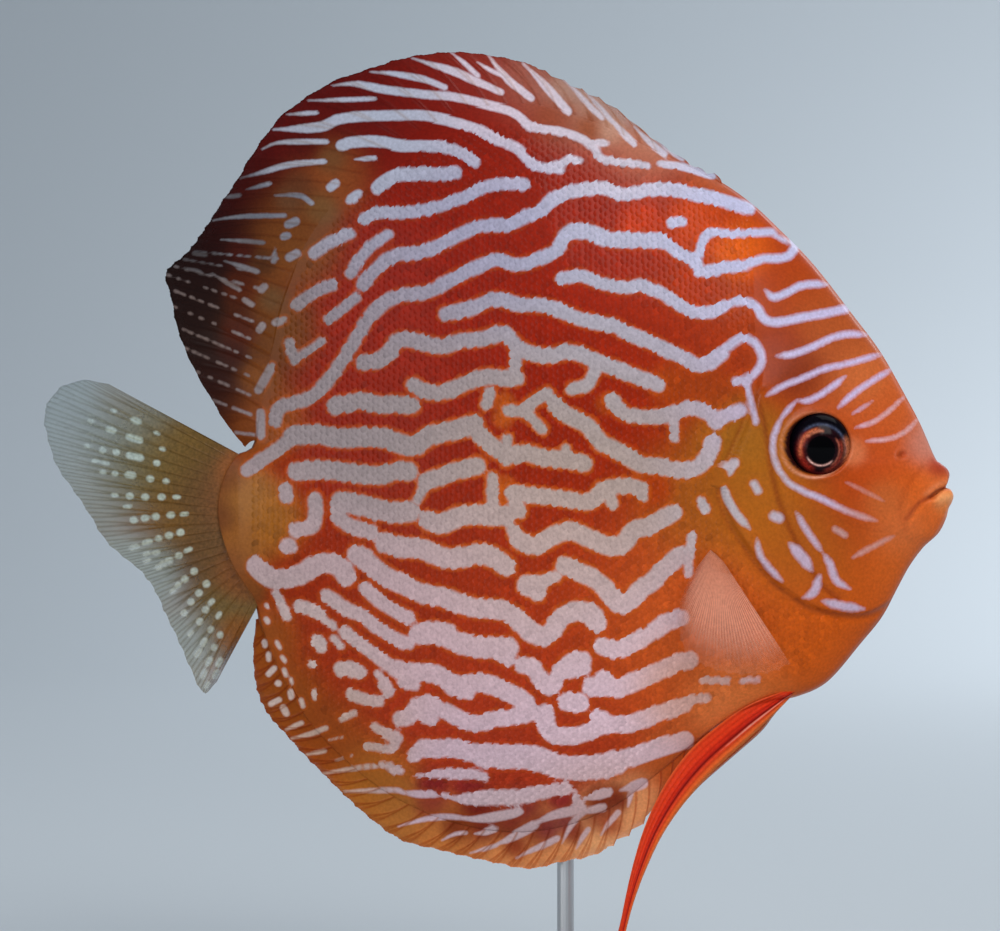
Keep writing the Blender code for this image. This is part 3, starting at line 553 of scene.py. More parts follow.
FIN_STRIPES = """
6 451,52 464,63 478,76
8 412,58 430,64 455,72 472,80 488,87 501,93
5 477,62 490,70 500,75
9 487,53 497,67 508,80 520,90 531,99
10 523,63 537,77 547,88 560,103 568,112
7 563,79 575,90 590,107 602,118
6 585,91 600,108 612,122
8 606,114 620,130 634,144
8 634,127 650,143 664,154
6 655,139 668,150 682,159
5 676,150 688,159 700,167
7 370,72 395,74 425,80 445,88
8 332,86 355,84 380,89 400,92 430,95.5 450,97 470,101 490,106 508,110.5 520,117 528,125 540,129 556,130.5
 572,135 584,140 594,148 601,158 612,161 630,163 648,166
7 597,143 606,143
5 308,101 345,100 375,99
5 287,115 317,113
10 273,130 300,129 322,127 338,120 360,117 400,116 420,116 440,119 460,124 478,130 492,138 508,144 518,149
 526,158 537,166 548,168 560,165 570,159 580,161
8 484,131 490,135
7 552,170 562,170
6 262,150 280,143 327,142
6 240,179 262,173 290,165 325,162
5 247,190 270,184
5 222,198 240,196
6 275,196 300,196 312,204
5 213,221 240,217 285,216
6 355,160 375,159
8.5 331,188 336,184
9 350,200 358,194
8 289,225 296,222
7 284,237 288,236
8 290,258 297,254
6 276,248 274,262
7 262,290 265,287
7 260,330 263,326
7 276,323 284,320
5 221,240 240,241 264,243
6 224,261 240,266 258,272
5 212,273 224,281 240,290
3 194,254 206,255.5
4 186,268 200,272
5 245,300 252,305
4 286,729.5 302,722.5
4.5 292,738 309,734 326,728
3.5 307,754 325,750.5
4.5 323,773 348,769 373,766 390,764
11 413,776 424,775.5 440,774 458,774 474,775 484,777
5 345,791 370,790 398,790
8.5 398,792 416,794 434,794
14 442,795 463,799 480,798 500,797.5 518,797 535,794.5 550,791 566,789
10 542,792 554,790 568,789
11.5 574,790 577,800 580,809
11.5 582,799 594,796 608,792
11.5 622,790 634,786 643,783
6 398,826 412,822 428,818 446,816.5 460,817.5
11 456,817 472,819 488,818 500,816 511,814 519,811
4.5 442,840 454,834 466,832
8 475,833 484,832 495,828
5 470,853 484,849 496,845
11.5 492,846 506,840 520,832.5 534,825
11.5 530,827 544,819 558,814 572,811 582,808
8 516,858 530,851 545,844 557,838
6.5 562,843 567,832 573,822 580,815
9 580,813 592,810 603,807
6 576,849 582,838 588,829
6.5 601,835 608,824 618,812
5 628,806 631,790
0.8 336,760 352,755
0.8 329,740 344,737
2.5 266,605 268,607
3.5 266,619 268,622
4 264.5,642 265,645
2.5 276.5,642 280,648
3.5 268.7,654 269,659
2.5 282,657 285,661
4 268.5,674 274.5,668
3 284,670 286,675
4.5 278,683 279,683
2 291,679 292,683
4 291,691.5 291.5,696.5
4 271,703.5 279.5,699.5
3 301,700 303,706
5 283.5,707.5 286.5,713
3.5 314,691 315,698
"""
# For each group, the share of its width that a stripe loses at its first end and its other, and over what
# run. A spot no longer than SPOT_LENGTH keeps its width.
STRIPE_ENDS = [(FLANK_STRIPES, 0, 0, 1), (FACE_STRIPES, 0.8, 0.8, 6), (FIN_STRIPES, 0.85, 0.25, 26)]
SPOT_LENGTH = 14
NO_STRIPE = -14.0
stripe_field = np.full(FRAME_SIZE[::-1], NO_STRIPE)
generator = np.random.default_rng(7)


def read_rows(drawing):
    """The rows of a drawing, each as its numbers and then its places."""
    rows = drawing.strip().replace("\n ", " ").split("\n")
    return [[tuple(map(float, part.split(","))) if "," in part else float(part) for part in row.split()]
            for row in rows]


def lay_stripe(points, width, start=0.0, end=0.0, run=26):
    """Lays one stripe on the field, start squares narrower at its first end and end at the other."""
    line = smooth_line(points, 4)
    margin = width / 2 - NO_STRIPE
    along = run_of(line)
    point = max(min(run, 0.45 * along[-1]), 1)
    across = width - start * bell(along, point) - end * bell(along[-1] - along, point)
    for first, last, wide, next_wide in zip(line, line[1:], across, across[1:]):
        window = tuple(
            slice(int(max(0, min(first[k], last[k]) - margin)),
                  int(min(FRAME_SIZE[k], max(first[k], last[k]) + margin + 1)))
            for k in (1, 0))
        row, column = np.mgrid[window]
        off, t, _ = from_span(column, row, first, last)
        patch = stripe_field[window]
        np.maximum(patch, (wide + (next_wide - wide) * t) / 2 - off, out=patch)


for stripes, start, end, run in STRIPE_ENDS:
    for width, *spots in read_rows(stripes):
        lost = width if math.dist(spots[0], spots[-1]) > SPOT_LENGTH else 0
        lay_stripe(spots, width, lost * start, lost * end, run)


def stripe_depth(column, row):
    """How deep spots lie in a stripe, in squares. Below zero is outside."""
    u, v = np.clip(column, 0, FRAME_SIZE[0] - 1.01), np.clip(row, 0, FRAME_SIZE[1] - 1.01)
    left, top = u.astype(int), v.astype(int)
    du, dv = u - left, v - top
    upper = stripe_field[top, left] * (1 - du) + stripe_field[top, left + 1] * du
    lower = stripe_field[top + 1, left] * (1 - du) + stripe_field[top + 1, left + 1] * du
    # Stripes are fuller than drawn low on the flank, and finer on the face
    fuller = 0.6 * step(400, 600, row) * step(720, 640, column) * step(840, 780, row)
    face = step(700, 770, column)
    return (upper * (1 - dv) + lower * dv + fuller) * (1 - 0.45 * face) - 0.4 * face


# Ground and stripe colours by part of the body: column, row, how far they spread, then red, green, blue
GROUND_ZONES_WITH_PAINTED_LIGHT = [
    (560, 130, 90, 136, 28, 8), (440, 200, 90, 132, 22, 6), (640, 230, 80, 164, 34, 5),
    (500, 330, 90, 150, 27, 4), (700, 330, 70, 158, 38, 4), (560, 470, 100, 150, 34, 3),
    (380, 450, 80, 140, 28, 5), (350, 600, 80, 152, 44, 8), (560, 640, 90, 178, 55, 14),
    (500, 760, 80, 168, 50, 24), (690, 620, 60, 212, 96, 34), (700, 500, 30, 160, 84, 20),
    (760, 500, 36, 182, 104, 22), (740, 440, 22, 158, 98, 24), (800, 640, 50, 202, 86, 12),
    # (740, 705) is the chest, painted lighter as painted light where it faces down and gets little light
    (740, 705, 24, 236, 128, 66), (780, 300, 60, 178, 70, 16), (830, 340, 30, 176, 86, 40),
    (860, 500, 45, 172, 64, 12), (800, 545, 30, 172, 88, 20), (900, 420, 34, 204, 96, 42),
    (915, 545, 30, 212, 98, 28), (880, 470, 30, 188, 66, 12), (920, 500, 22, 232, 106, 34),
    (945, 490, 12, 214, 110, 56), (927, 444, 11, 200, 130, 112), (940, 466, 6, 168, 56, 34),
    (290, 240, 22, 112, 64, 24), (268, 330, 20, 108, 60, 18), (262, 420, 18, 146, 74, 24),
    (246, 500, 14, 158, 102, 46), (268, 520, 16, 153, 92, 26), (226, 480, 9, 118, 66, 32),
    (222, 515, 9, 114, 64, 32), (240, 545, 12, 150, 91, 38), (232, 560, 9, 130, 74, 36),
    (246, 590, 8, 128, 70, 26), (715, 178, 14, 176, 84, 46), (650, 130, 26, 184, 122, 96),
    (590, 95, 24, 182, 138, 116), (556, 114, 12, 140, 60, 32), (530, 75, 20, 154, 86, 70),
    (480, 66, 26, 136, 42, 32), (430, 80, 34, 112, 17, 9), (360, 100, 40, 80, 8, 7),
    (330, 175, 18, 132, 70, 30), (300, 140, 36, 76, 8, 7), (290, 220, 20, 104, 54, 20),
    (250, 190, 26, 54, 6, 5), (225, 225, 24, 34, 6, 6), (262, 300, 12, 106, 56, 20),
    (200, 280, 30, 26, 10, 8), (215, 340, 30, 28, 12, 7), (258, 380, 9, 124, 68, 24),
    (232, 400, 22, 40, 14, 7), (254, 430, 8, 122, 62, 26), (243, 330, 9, 84, 26, 9),
    (246, 290, 9, 92, 34, 12), (262, 640, 16, 142, 70, 16), (278, 700, 20, 138, 68, 14),
    (320, 745, 22, 142, 66, 16), (370, 790, 22, 164, 96, 32), (400, 815, 18, 172, 106, 48),
    (450, 835, 18, 198, 120, 58), (500, 850, 18, 222, 140, 80), (550, 850, 20, 232, 150, 92),
    (600, 838, 20, 242, 172, 116), (640, 815, 18, 232, 156, 102), (680, 765, 18, 196, 92, 40),
    (480, 822, 14, 126, 24, 14), (540, 832, 9, 128, 28, 16), (430, 803, 8, 148, 56, 42),
    (600, 815, 9, 140, 38, 18), (478, 806, 8, 108, 16, 20), (520, 807, 8, 136, 46, 42),
    (455, 827, 7, 112, 22, 14), (486, 826, 7, 122, 34, 34), (510, 826, 7, 130, 36, 32),
    (548, 829, 6, 132, 48, 58), (566, 821, 6, 140, 56, 60), (574, 832, 6, 136, 26, 14),
    (515, 846, 6, 136, 30, 16), (602, 802, 6, 116, 26, 16), (618, 800, 6, 126, 28, 14),
    (432, 786, 7, 130, 28, 30), (470, 786, 7, 142, 36, 34), (563, 799, 6, 146, 40, 38),
    (610, 824, 6, 170, 66, 30), (798, 368, 13, 128, 42, 10), (780, 345, 12, 152, 50, 14),
    (862, 374, 11, 204, 104, 52), (903, 527, 14, 214, 112, 58), (886, 500, 11, 196, 102, 48),
    # (949, 500) is the lower lip's front, painted light as a painted highlight
    (853, 452, 6, 214, 118, 74), (949, 500, 7, 250, 142, 66), (504, 402, 4, 178, 74, 14),
    (503, 418, 4, 178, 76, 18), (505, 486, 4, 186, 78, 18), (507, 501, 4, 182, 72, 14),
    (606, 404, 4, 170, 62, 10), (672, 385, 10, 166, 62, 8), (706, 388, 12, 160, 60, 10),
    (655, 490, 8, 170, 56, 6), (590, 127, 7, 144, 70, 36), (564, 90, 8, 176, 130, 112),
    (610, 127, 7, 184, 136, 114), (244, 284, 7, 56, 18, 4), (243, 306, 7, 60, 20, 4),
    (242, 326, 7, 60, 20, 5), (234, 350, 7, 56, 16, 6), (306, 148, 9, 72, 8, 6), (300, 188, 8, 88, 48, 26),
    (320, 208, 8, 108, 74, 40), (331, 160, 7, 102, 66, 36), (290, 202, 7, 92, 60, 38),
    (270, 300, 6, 98, 70, 42), (262, 262, 6, 72, 38, 16), (243, 250, 7, 62, 18, 10),
    (740, 250, 14, 224, 94, 12), (700, 222, 16, 202, 66, 4), (642, 226, 10, 196, 54, 4),
    (690, 285, 12, 178, 50, 3),
]
# The pale stripes' tones are painted darker toward the tail and the rear fins: painted shade, for light that
# falls off to the left
PALE_ZONES_WITH_PAINTED_SHADE = [
    (620, 200, 100, 182, 185, 212), (470, 220, 60, 162, 157, 182), (380, 330, 90, 142, 130, 138),
    (740, 260, 60, 192, 192, 224), (800, 400, 90, 206, 186, 222), (640, 330, 60, 172, 164, 172),
    (480, 440, 80, 170, 150, 142), (640, 440, 70, 168, 146, 128), (350, 440, 50, 148, 134, 134),
    (450, 650, 90, 204, 170, 175), (560, 560, 60, 194, 166, 156), (620, 720, 90, 232, 199, 211),
    (350, 110, 60, 178, 180, 196), (300, 600, 60, 184, 156, 158), (500, 830, 30, 206, 178, 176),
    (740, 500, 30, 190, 176, 176), (800, 560, 30, 196, 170, 190), (620, 120, 50, 210, 192, 196),
    (500, 90, 40, 212, 192, 202), (380, 120, 50, 160, 166, 182), (280, 150, 40, 148, 150, 162),
    (230, 230, 30, 104, 106, 112), (220, 330, 40, 112, 94, 88), (265, 330, 20, 140, 128, 128),
    (280, 660, 40, 200, 180, 168), (330, 750, 40, 182, 150, 130), (480, 820, 60, 206, 178, 192),
    (600, 820, 40, 208, 170, 164), (898, 428, 16, 222, 172, 172), (868, 492, 12, 206, 138, 122),
    (874, 546, 14, 206, 144, 130), (838, 532, 8, 196, 146, 138), (690, 690, 28, 214, 160, 140),
    (262, 213, 12, 98, 100, 110), (292, 196, 9, 106, 106, 116), (290, 222, 8, 122, 120, 130),
    (242, 190, 12, 76, 72, 78), (202, 254, 10, 64, 60, 62), (255, 241, 8, 94, 86, 88),
]

# The tighter a zone, the more it counts close by. Far from all of them, each still counts a little.
ZONE_TIGHTNESS, ZONE_LEAST = 1.3, 1e-12


def zone_colour(zones, column, row):
    """The colours of spots, eased from zone to zone."""
    total = np.zeros(column.shape)
    colour = np.zeros(column.shape + (3,))
    for u, v, spread, *tint in zones:
        weight = np.exp(-((column - u) ** 2 + (row - v) ** 2) / (2 * spread ** 2))
        weight = weight / spread ** ZONE_TIGHTNESS + ZONE_LEAST
        total += weight
        colour += weight[..., None] * srgb(*tint)
    return colour / total[..., None]


def face_tones_and_painted_shade(column, row, colour):
    """The ground colour with the face's tones and painted light: the eye's pale rim with a painted highlight
    to its lower right, painted shade behind the gill cover's edge, in the grooves, the mouth, the nostril
    and the socket, and the lips with a painted highlight on the lower lip's front.
    """
    near = (column > 700) & (row > 380) & (row < 640)
    u, v, tinted = column[near], row[near], colour[near]
    gill, side = from_line(GILL_EDGE, u, v)
    features = (CHEEK_EDGE, UPPER_LIP, LOWER_LIP, JAW_FOLD, MOUTH_FOLD, MOUTH_LINE)
    cheek, upper, lower, jaw, crease, mouth = (from_line(line, u, v)[0] for line in features)
    nostril = np.hypot(u - NOSTRIL[0], v - NOSTRIL[1])
    eye = np.hypot(u - EYE_SPOT[0], v - EYE_SPOT[1])
    below = 0.5 + 0.5 * ((u - EYE_SPOT[0]) + (v - EYE_SPOT[1])) / np.maximum(eye, 1) / math.sqrt(2)
    tones = [
        # Painted shade: the gill cover's edge, the cheek groove, the jaw fold, the mouth's crease and slit
        # and the nostril are painted dark
        (0.55 * bell(gill + 1 + 4 * (side > 0), 3.5), srgb(128, 50, 18)),
        (0.65 * bell(cheek, 2.6), srgb(122, 44, 16)),
        (0.6 * bell(upper, 2.6), srgb(214, 122, 76)),
        # Painted highlight: the lower lip's front is painted pale
        (0.85 * bell(lower, 6) * step(930, 944, u), srgb(250, 168, 106)),
        (0.2 * bell(jaw, 3), srgb(150, 52, 16)),
        (0.45 * bell(crease, 2.2), srgb(150, 40, 16)),
        (0.75 * bell(mouth, 1.5), srgb(110, 34, 18)),
        (0.6 * bell(nostril, 2.4), srgb(110, 38, 18)),
        # The eye's pale rim is the skin's colour, painted brighter toward its lower right as a painted
        # highlight
        (0.9 * bell(eye - EYE_RING - 2.2, 1.5) * (0.3 + 0.7 * below), srgb(232, 158, 124)),
        # Painted shade: the socket round the eyeball is painted dark
        (step(EYE_RING, EYE_RING - 2.5, eye), srgb(44, 14, 14)),
    ]
    for weight, tone in tones:
        tinted = tinted + weight[:, None] * (tone - tinted)
    colour[near] = tinted
    return colour


def seen(points):
    """Where the camera sees points of the model, as column and row."""
    eye = place(*VIEW_CENTRE)
    scale = CAMERA_DISTANCE / (points[..., 1] + CAMERA_DISTANCE) / SQUARE
    return (VIEW_CENTRE[0] + (points[..., 0] - eye[0]) * scale,
            VIEW_CENTRE[1] - (points[..., 2] - eye[2]) * scale)


def pattern_place(points):
    """Where on the drawn pattern points lie. The left flank's own is alike, but pushed about by waves."""
    mirrored = points * (1, -1, 1)
    column, row = seen(np.where(points[..., 1:2] > 0, mirrored, points))
    other = (points[..., 1] > 0) * step(930, 860, column)
    return (column + other * (7 * np.sin(row / 47 + 1.3) + 5 * np.sin(column / 83)),
            row + other * (6 * np.sin(column / 59 + 0.7) + 3 * np.sin(row / 31)))


def colour_attribute(mesh, name, values):
    """Stores a colour for each point of a mesh."""
    layer = mesh.attributes.new(name, "FLOAT_COLOR", "POINT")
    whole = np.concatenate([values, np.ones(values.shape[:-1] + (1,))], axis=-1)
    layer.data.foreach_set("color", whole.astype(np.float32).ravel())


def number_attribute(mesh, name, values):
    """Stores a number for each point of a mesh."""
    layer = mesh.attributes.new(name, "FLOAT", "POINT")
    layer.data.foreach_set("value", np.asarray(values, np.float32).ravel())


# The skin's own unwrap: each flank is a disc, as far out from its middle as the spot is on the body
DISC_RADIUS, DISC_OFFSET = 0.235, 0.25


def flank_map(share, angle, side):
    """Places on the skin's unwrap."""
    return np.stack([0.5 + side * (DISC_OFFSET - DISC_RADIUS * share * np.cos(angle)),
                     0.5 - DISC_RADIUS * share * np.sin(angle)], -1)


def bake_map(mesh, places):
    """The piece's map, from a place for each of its points."""
    layer = mesh.uv_layers.new(name="OFBake")
    corners = np.empty(len(mesh.loops), np.int32)
    mesh.loops.foreach_get("vertex_index", corners)
    layer.data.foreach_set("uv", places[corners].astype(np.float32).ravel())


# Beside its stripes the red turns orange, most of all in the middle of the flank
FRINGE_TONE = srgb(200, 92, 22)


def fringe_strength(column, row):
    """How orange the ground is beside a stripe."""
    middle = np.exp(-((column - 520) / 190) ** 2 - ((row - 500) / 190) ** 2)
    return (0.16 + 0.62 * middle) * step(800, 720, column) * step(150, 260, row) * step(860, 760, row)


def stored(tree, name, output="Fac"):
    """What the mesh stores at each point under a name."""
    return add_node(tree, "ShaderNodeAttribute", attribute_name=name).outputs[output]


def worked(tree, operation, *values):
    """The outcome of a sum on numbers and sockets."""
    return add_node(tree, "ShaderNodeMath", dict(enumerate(values)), operation=operation).outputs[0]


def mixed(tree, share, first, second, blend="MIX"):
    """The first colour with a share of the second laid on it."""
    links = {"Factor": share, 6: first, 7: second}
    return add_node(tree, "ShaderNodeMix", links, data_type="RGBA", blend_type=blend).outputs[2]


def mottled(tree, colour, pattern, share):
    """A colour that turns lighter and darker with a pattern, by up to a share of itself each way."""
    value = rescaled(tree, pattern, 0.3, 0.7, 1 - share, 1 + share)
    return add_node(tree, "ShaderNodeHueSaturation", {"Color": colour, "Value": value}).outputs[0]


def skin_paint(name, roughness, coat, wobble, mottle, gloss=0.07, coat_roughness=0.08):
    """Skin with the stripes on it: crisp uneven edges, a fringe of orange beside them, mottled, and wet."""
    material, tree, shader = new_material(name, Roughness=roughness, Specular_IOR_Level=gloss,
                                          Coat_Weight=coat, Coat_Roughness=coat_roughness)
    spots = own_spots(tree)
    ragged = worked(tree, "SUBTRACT", specks(tree, spots, scale=1100.0, detail=2.0), 0.5)
    depth = worked(tree, "MULTIPLY_ADD", ragged, wobble, stored(tree, "depth"))
    beside = worked(tree, "MULTIPLY", rescaled(tree, depth, -4.2, -1.2), stored(tree, "fringe"))
    warmer = mixed(tree, beside, stored(tree, "ground", "Color"), (*FRINGE_TONE, 1))
    striped = mixed(tree, rescaled(tree, depth, -1.3, 0.8), warmer, stored(tree, "pale", "Color"))
    fine = specks(tree, spots, scale=1900.0, detail=4.0)
    tree.links.new(mottled(tree, striped, fine, mottle), shader.inputs["Base Color"])
    pitted(tree, shader, fine, strength=0.25, depth=0.08 * MM)
    return material


skin_material = skin_paint("discus_skin", roughness=0.42, coat=0.09, wobble=1.2, mottle=0.12,
                           coat_roughness=0.18)

# Spokes are closest round the mouth and close round the face, and rings are closest near the outline. The
# two halves meet in a keel just outside the outline.
MOUTH_PITCH, SPOT_PITCH, FACE_PITCH, BODY_PITCH = 1.5, 2.4, 3.2, 6.5
INNER_RINGS, OUTER_RINGS, FIRST_SHARE, INNER_SHARE = 10, 80, 0.04, 0.4
KEEL_OUT, KEEL_SHARE, KEEL_THINNING = 2.2, 1.012, 0.8
WELD = 0.002 * MM


def spoke_angles():
    """Directions of the skin's spokes."""
    line = rim.line
    # Squares between spokes on the face, at the mouth, and where the rear of the belly is finely spotted
    pitch = np.full(len(line), BODY_PITCH)
    pitch[(line[:, 0] > 740) & (line[:, 1] < 640)] = FACE_PITCH
    pitch[(line[:, 0] > 905) & (line[:, 1] > 440) & (line[:, 1] < 545)] = MOUTH_PITCH
    pitch[(line[:, 0] < 330) & (line[:, 1] > 590)] = SPOT_PITCH
    closed = np.vstack([line, line[:1]])
    rate = np.concatenate([[0], np.cumsum(np.diff(run_of(closed)) / pitch)])
    count = int(rate[-1])
    column, row = (np.interp(np.arange(count), rate / rate[-1] * count, closed[:, k]) for k in (0, 1))
    return np.arctan2(row - FLESH_CENTRE[1], column - FLESH_CENTRE[0])


angles = spoke_angles()
reach = rim.at(angles, rim.reach)
t = np.linspace(0, 1, OUTER_RINGS)
shares = np.concatenate([
    np.linspace(FIRST_SHARE, INNER_SHARE, INNER_RINGS, endpoint=False),
    INNER_SHARE + (1 - INNER_SHARE) * (1 - (1 - t) ** 1.3),
])
column = FLESH_CENTRE[0] + shares[:, None] * reach * np.cos(angles)
row = FLESH_CENTRE[1] + shares[:, None] * reach * np.sin(angles)
width = skin_width(column, row)
width[-1] = np.minimum(width[-1], rim.at(angles, rim.edge) * MM * KEEL_THINNING)
count, rings = len(angles), len(shares)
keel = place(FLESH_CENTRE[0] + (reach + KEEL_OUT) * np.cos(angles),
             FLESH_CENTRE[1] + (reach + KEEL_OUT) * np.sin(angles))
on_disc = np.append(shares, KEEL_SHARE)[:, None] * np.ones(count)
skin_points, skin_faces, skin_places = [], [], []
start = 0
for side in (-1, 1):
    middle = place(*FLESH_CENTRE, side * half_width(*FLESH_CENTRE) * MM)
    skin_points += [middle.reshape(1, 3), place(column, row, side * width).reshape(-1, 3), keel]
    skin_places += [[(0.5 + side * DISC_OFFSET, 0.5)], flank_map(on_disc, angles, side).reshape(-1, 2)]
    skin_faces += grid_faces(rings + 1, count, start + 1, closed=True).tolist()
    skin_faces += [(start, start + 1 + k, start + 1 + (k + 1) % count) for k in range(count)]
    start += 1 + (rings + 1) * count
skin_points = np.vstack(skin_points)
skin = bpy.data.meshes.new("skin")
skin.from_pydata(skin_points.tolist(), [], skin_faces)
skin.materials.append(skin_material)
where = pattern_place(skin_points)
colour_attribute(skin, "ground", face_tones_and_painted_shade(*where, zone_colour(GROUND_ZONES_WITH_PAINTED_LIGHT, *where)))
colour_attribute(skin, "pale", zone_colour(PALE_ZONES_WITH_PAINTED_SHADE, *where))
number_attribute(skin, "depth", stripe_depth(*where))
number_attribute(skin, "fringe", fringe_strength(*where))
bake_map(skin, np.vstack(skin_places))
built = bmesh.new()
built.from_mesh(skin)
bmesh.ops.remove_doubles(built, verts=built.verts, dist=WELD)
bmesh.ops.recalc_face_normals(built, faces=built.faces)
built.to_mesh(skin)
built.free()
skin.shade_smooth()
skin_piece = show("skin", skin)
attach(skin_piece, "root")
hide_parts("head", "body", "tail_base", "gill_cover_left", "gill_cover_right")

# The flank is covered with small round scales of clear bone, each rooted in the skin and lying over the ones
# behind it. They stand in staggered rows from the gill cover to the tail's stem, and each carries the colour
# of its own place.
SCALE_ALONG, SCALE_ACROSS, SCALE_SCATTER = 5.2, 7.4, 0.45
SCALE_LENGTH, SCALE_HALF, SCALE_ROUNDING = 10.0, 4.7, 0.16
# Rows of a scale's points from root to tip: how far along, how wide, and how high over the skin in mm
SCALE_ROWS = [
    (0.0, 0.8, -0.04), (0.3, 1.0, 0.015), (0.62, 1.0, 0.03), (1.0, 0.68, 0.045), (1.03, 0.68, -0.01),
]
SCALE_COLUMNS = (-1, -0.36, 0.36, 1)
SCALE_TILT = 0.012
SCALE_TURN_TO = (-100, 510)
SCALE_MAP = 0.003
# How unlike its neighbours a scale is in tone and in where a stripe's edge falls on it
TONE_SPREAD, EDGE_SPREAD = 0.07, 0.9
EDGE_SMOOTH, EDGE_STEPPED = 0.68, 0.32
# Scales grow between these columns and rows, behind this line and inside this share of the outline
SCALE_FIELD = (248, 900), (96, 840)
SCALES_BEHIND = [
    (745, 180), (753, 220), (757, 300), (752, 350), (744, 400), (726, 448), (712, 482), (720, 516),
    (738, 545), (757, 571), (781, 597), (817, 614), (858, 620), (884, 612),
]
SCALED_SHARE = 0.94


def unit(steps):
    """The directions of steps."""
    return steps / np.linalg.norm(steps, axis=1)[:, None]


def scale_roots():
    """Where the scales are rooted on the flank, in the side drawing."""
    columns, rows = SCALE_FIELD
    column, row = np.meshgrid(np.arange(*columns, SCALE_ALONG), np.arange(*rows, SCALE_ACROSS))
    row = row + SCALE_ACROSS / 2 * (np.arange(column.shape[1]) % 2)
    column, row = column.ravel(), row.ravel()
    column = column + generator.normal(0, SCALE_SCATTER, column.shape)
    row = row + generator.normal(0, SCALE_SCATTER, row.shape)
    share, _ = rim.share(column, row)
    _, side = from_line(SCALES_BEHIND, column, row)
    further = 0.045 * step(600, 720, column) * step(500, 300, row)
    covered = (column > 262) & (share < SCALED_SHARE + further)
    fits = covered & ((side < 0) & (row < 690) | (row >= 640) & (column < 800))
    return column[fits], row[fits]


def add_scales(name, side, material):
    """One flank's scales."""
    root_u, root_v = scale_roots()
    towards = unit(np.stack([SCALE_TURN_TO[0] - root_u, SCALE_TURN_TO[1] - root_v], -1))
    points, local = [], []
    for along, wide, lift in SCALE_ROWS:
        for across in SCALE_COLUMNS:
            reach = along * SCALE_LENGTH * (1 - SCALE_ROUNDING * across ** 2)
            sideways = across * wide * SCALE_HALF
            u = root_u + towards[:, 0] * reach - towards[:, 1] * sideways
            v = root_v + towards[:, 1] * reach + towards[:, 0] * sideways
            width = skin_width(u, v) + (lift + SCALE_TILT * across) * MM
            points.append(place(u, v, side * width))
            local.append((across * 0.5, min(along, 1.0) - 0.5))
    points = np.stack(points, axis=1)
    count, each = points.shape[:2]
    one = grid_faces(len(SCALE_ROWS), len(SCALE_COLUMNS))[:, ::-side]
    faces = (one[None] + each * np.arange(count)[:, None, None]).reshape(-1, 4)
    flat = points.reshape(-1, 3)
    piece = join_mesh(name, flat, faces, material)
    at_point = pattern_place(flat)
    at_root = pattern_place(points.mean(axis=1))
    tone = np.repeat(1 + generator.normal(0, TONE_SPREAD, count), each)[:, None]
    colour_attribute(piece.data, "ground", zone_colour(GROUND_ZONES_WITH_PAINTED_LIGHT, *at_point) * tone)
    colour_attribute(piece.data, "pale", zone_colour(PALE_ZONES_WITH_PAINTED_SHADE, *at_point) * (0.5 + 0.5 * tone))
    stepped = np.repeat(stripe_depth(*at_root) + generator.normal(0, EDGE_SPREAD, count), each)
    number_attribute(piece.data, "depth", EDGE_SMOOTH * stripe_depth(*at_point) + EDGE_STEPPED * stepped)
    number_attribute(piece.data, "fringe", fringe_strength(*at_point))
    roots = np.repeat(flank_map(*rim.share(root_u, root_v), side), each, axis=0)
    bake_map(piece.data, roots + SCALE_MAP * np.tile(np.array(local), (count, 1)))
    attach(piece, "root")


scale_material = skin_paint("discus_scales", roughness=0.42, coat=0.06, wobble=1.4, mottle=0.12)
add_scales("scales_right", -1, scale_material)
add_scales("scales_left", 1, scale_material)

# Each eye is a flattened ball in its socket. A clear wet cornea covers an iris that is nearly black, with a
# copper crescent behind the pupil, a thin bright arc below it that is a painted highlight, and a bluish arc
# at its upper right that is a painted reflection. The pupil looks a little down and ahead.
EYE_RADIUS, EYE_DEPTH, EYE_BULGE = 5.55, 3.4, 1.9
EYE_SPOKES, EYE_RINGS = 128, 96
PUPIL = (814.8, 450.2)
# Tones of the iris by how far from the pupil's middle they lie, in squares
BACK_OF_EYE = 40.0
IRIS_TONES = [
    (0.0, srgb(1, 1, 2)), (13.6, srgb(2, 1, 3)), (14.4, srgb(34, 10, 14)), (17.0, srgb(24, 6, 12)),
    (22.0, srgb(30, 8, 14)), (25.0, srgb(8, 5, 12)), (BACK_OF_EYE, srgb(4, 3, 8)),
]
# Flecks of the iris, and two painted glints: how far from the pupil's middle, how wide, which way, how far
# round, and the tone
IRIS_FLECKS_AND_GLINTS = [
    (20.5, 3.2, (-0.98, 0.1), 0.3, srgb(150, 40, 28)), (20.5, 1.8, (-0.84, -0.54), 0.5, srgb(190, 98, 62)),
    (18.6, 1.4, (-0.34, -0.94), 0.85, srgb(180, 104, 76)),
    # The first of these is a painted highlight: the pale arc at the pupil's lower edge
    (15.4, 0.8, (-0.15, 0.99), 0.5, srgb(250, 190, 176)), (18.2, 1.0, (0.98, 0.15), 0.6, srgb(160, 84, 66)),
    # The second of these is a painted reflection: the bluish arc at the upper right
    (20.5, 1.6, (0.9, 0.44), 0.5, srgb(130, 44, 32)), (25.0, 1.4, (0.5, -0.86), 0.1, srgb(66, 72, 94)),
    (27.0, 3.4, (0.88, 0.47), 0.45, srgb(186, 104, 66)), (24.0, 2.0, (0.4, 0.9), 0.6, srgb(86, 26, 28)),
]
FLECK_AND_GLINT_STRENGTH = 0.9


def tone_between(tones, values):
    """The colours for values, eased between the tones given for some of them."""
    known, colours = zip(*tones)
    return np.stack([np.interp(values, known, channel) for channel in zip(*colours)], axis=-1)


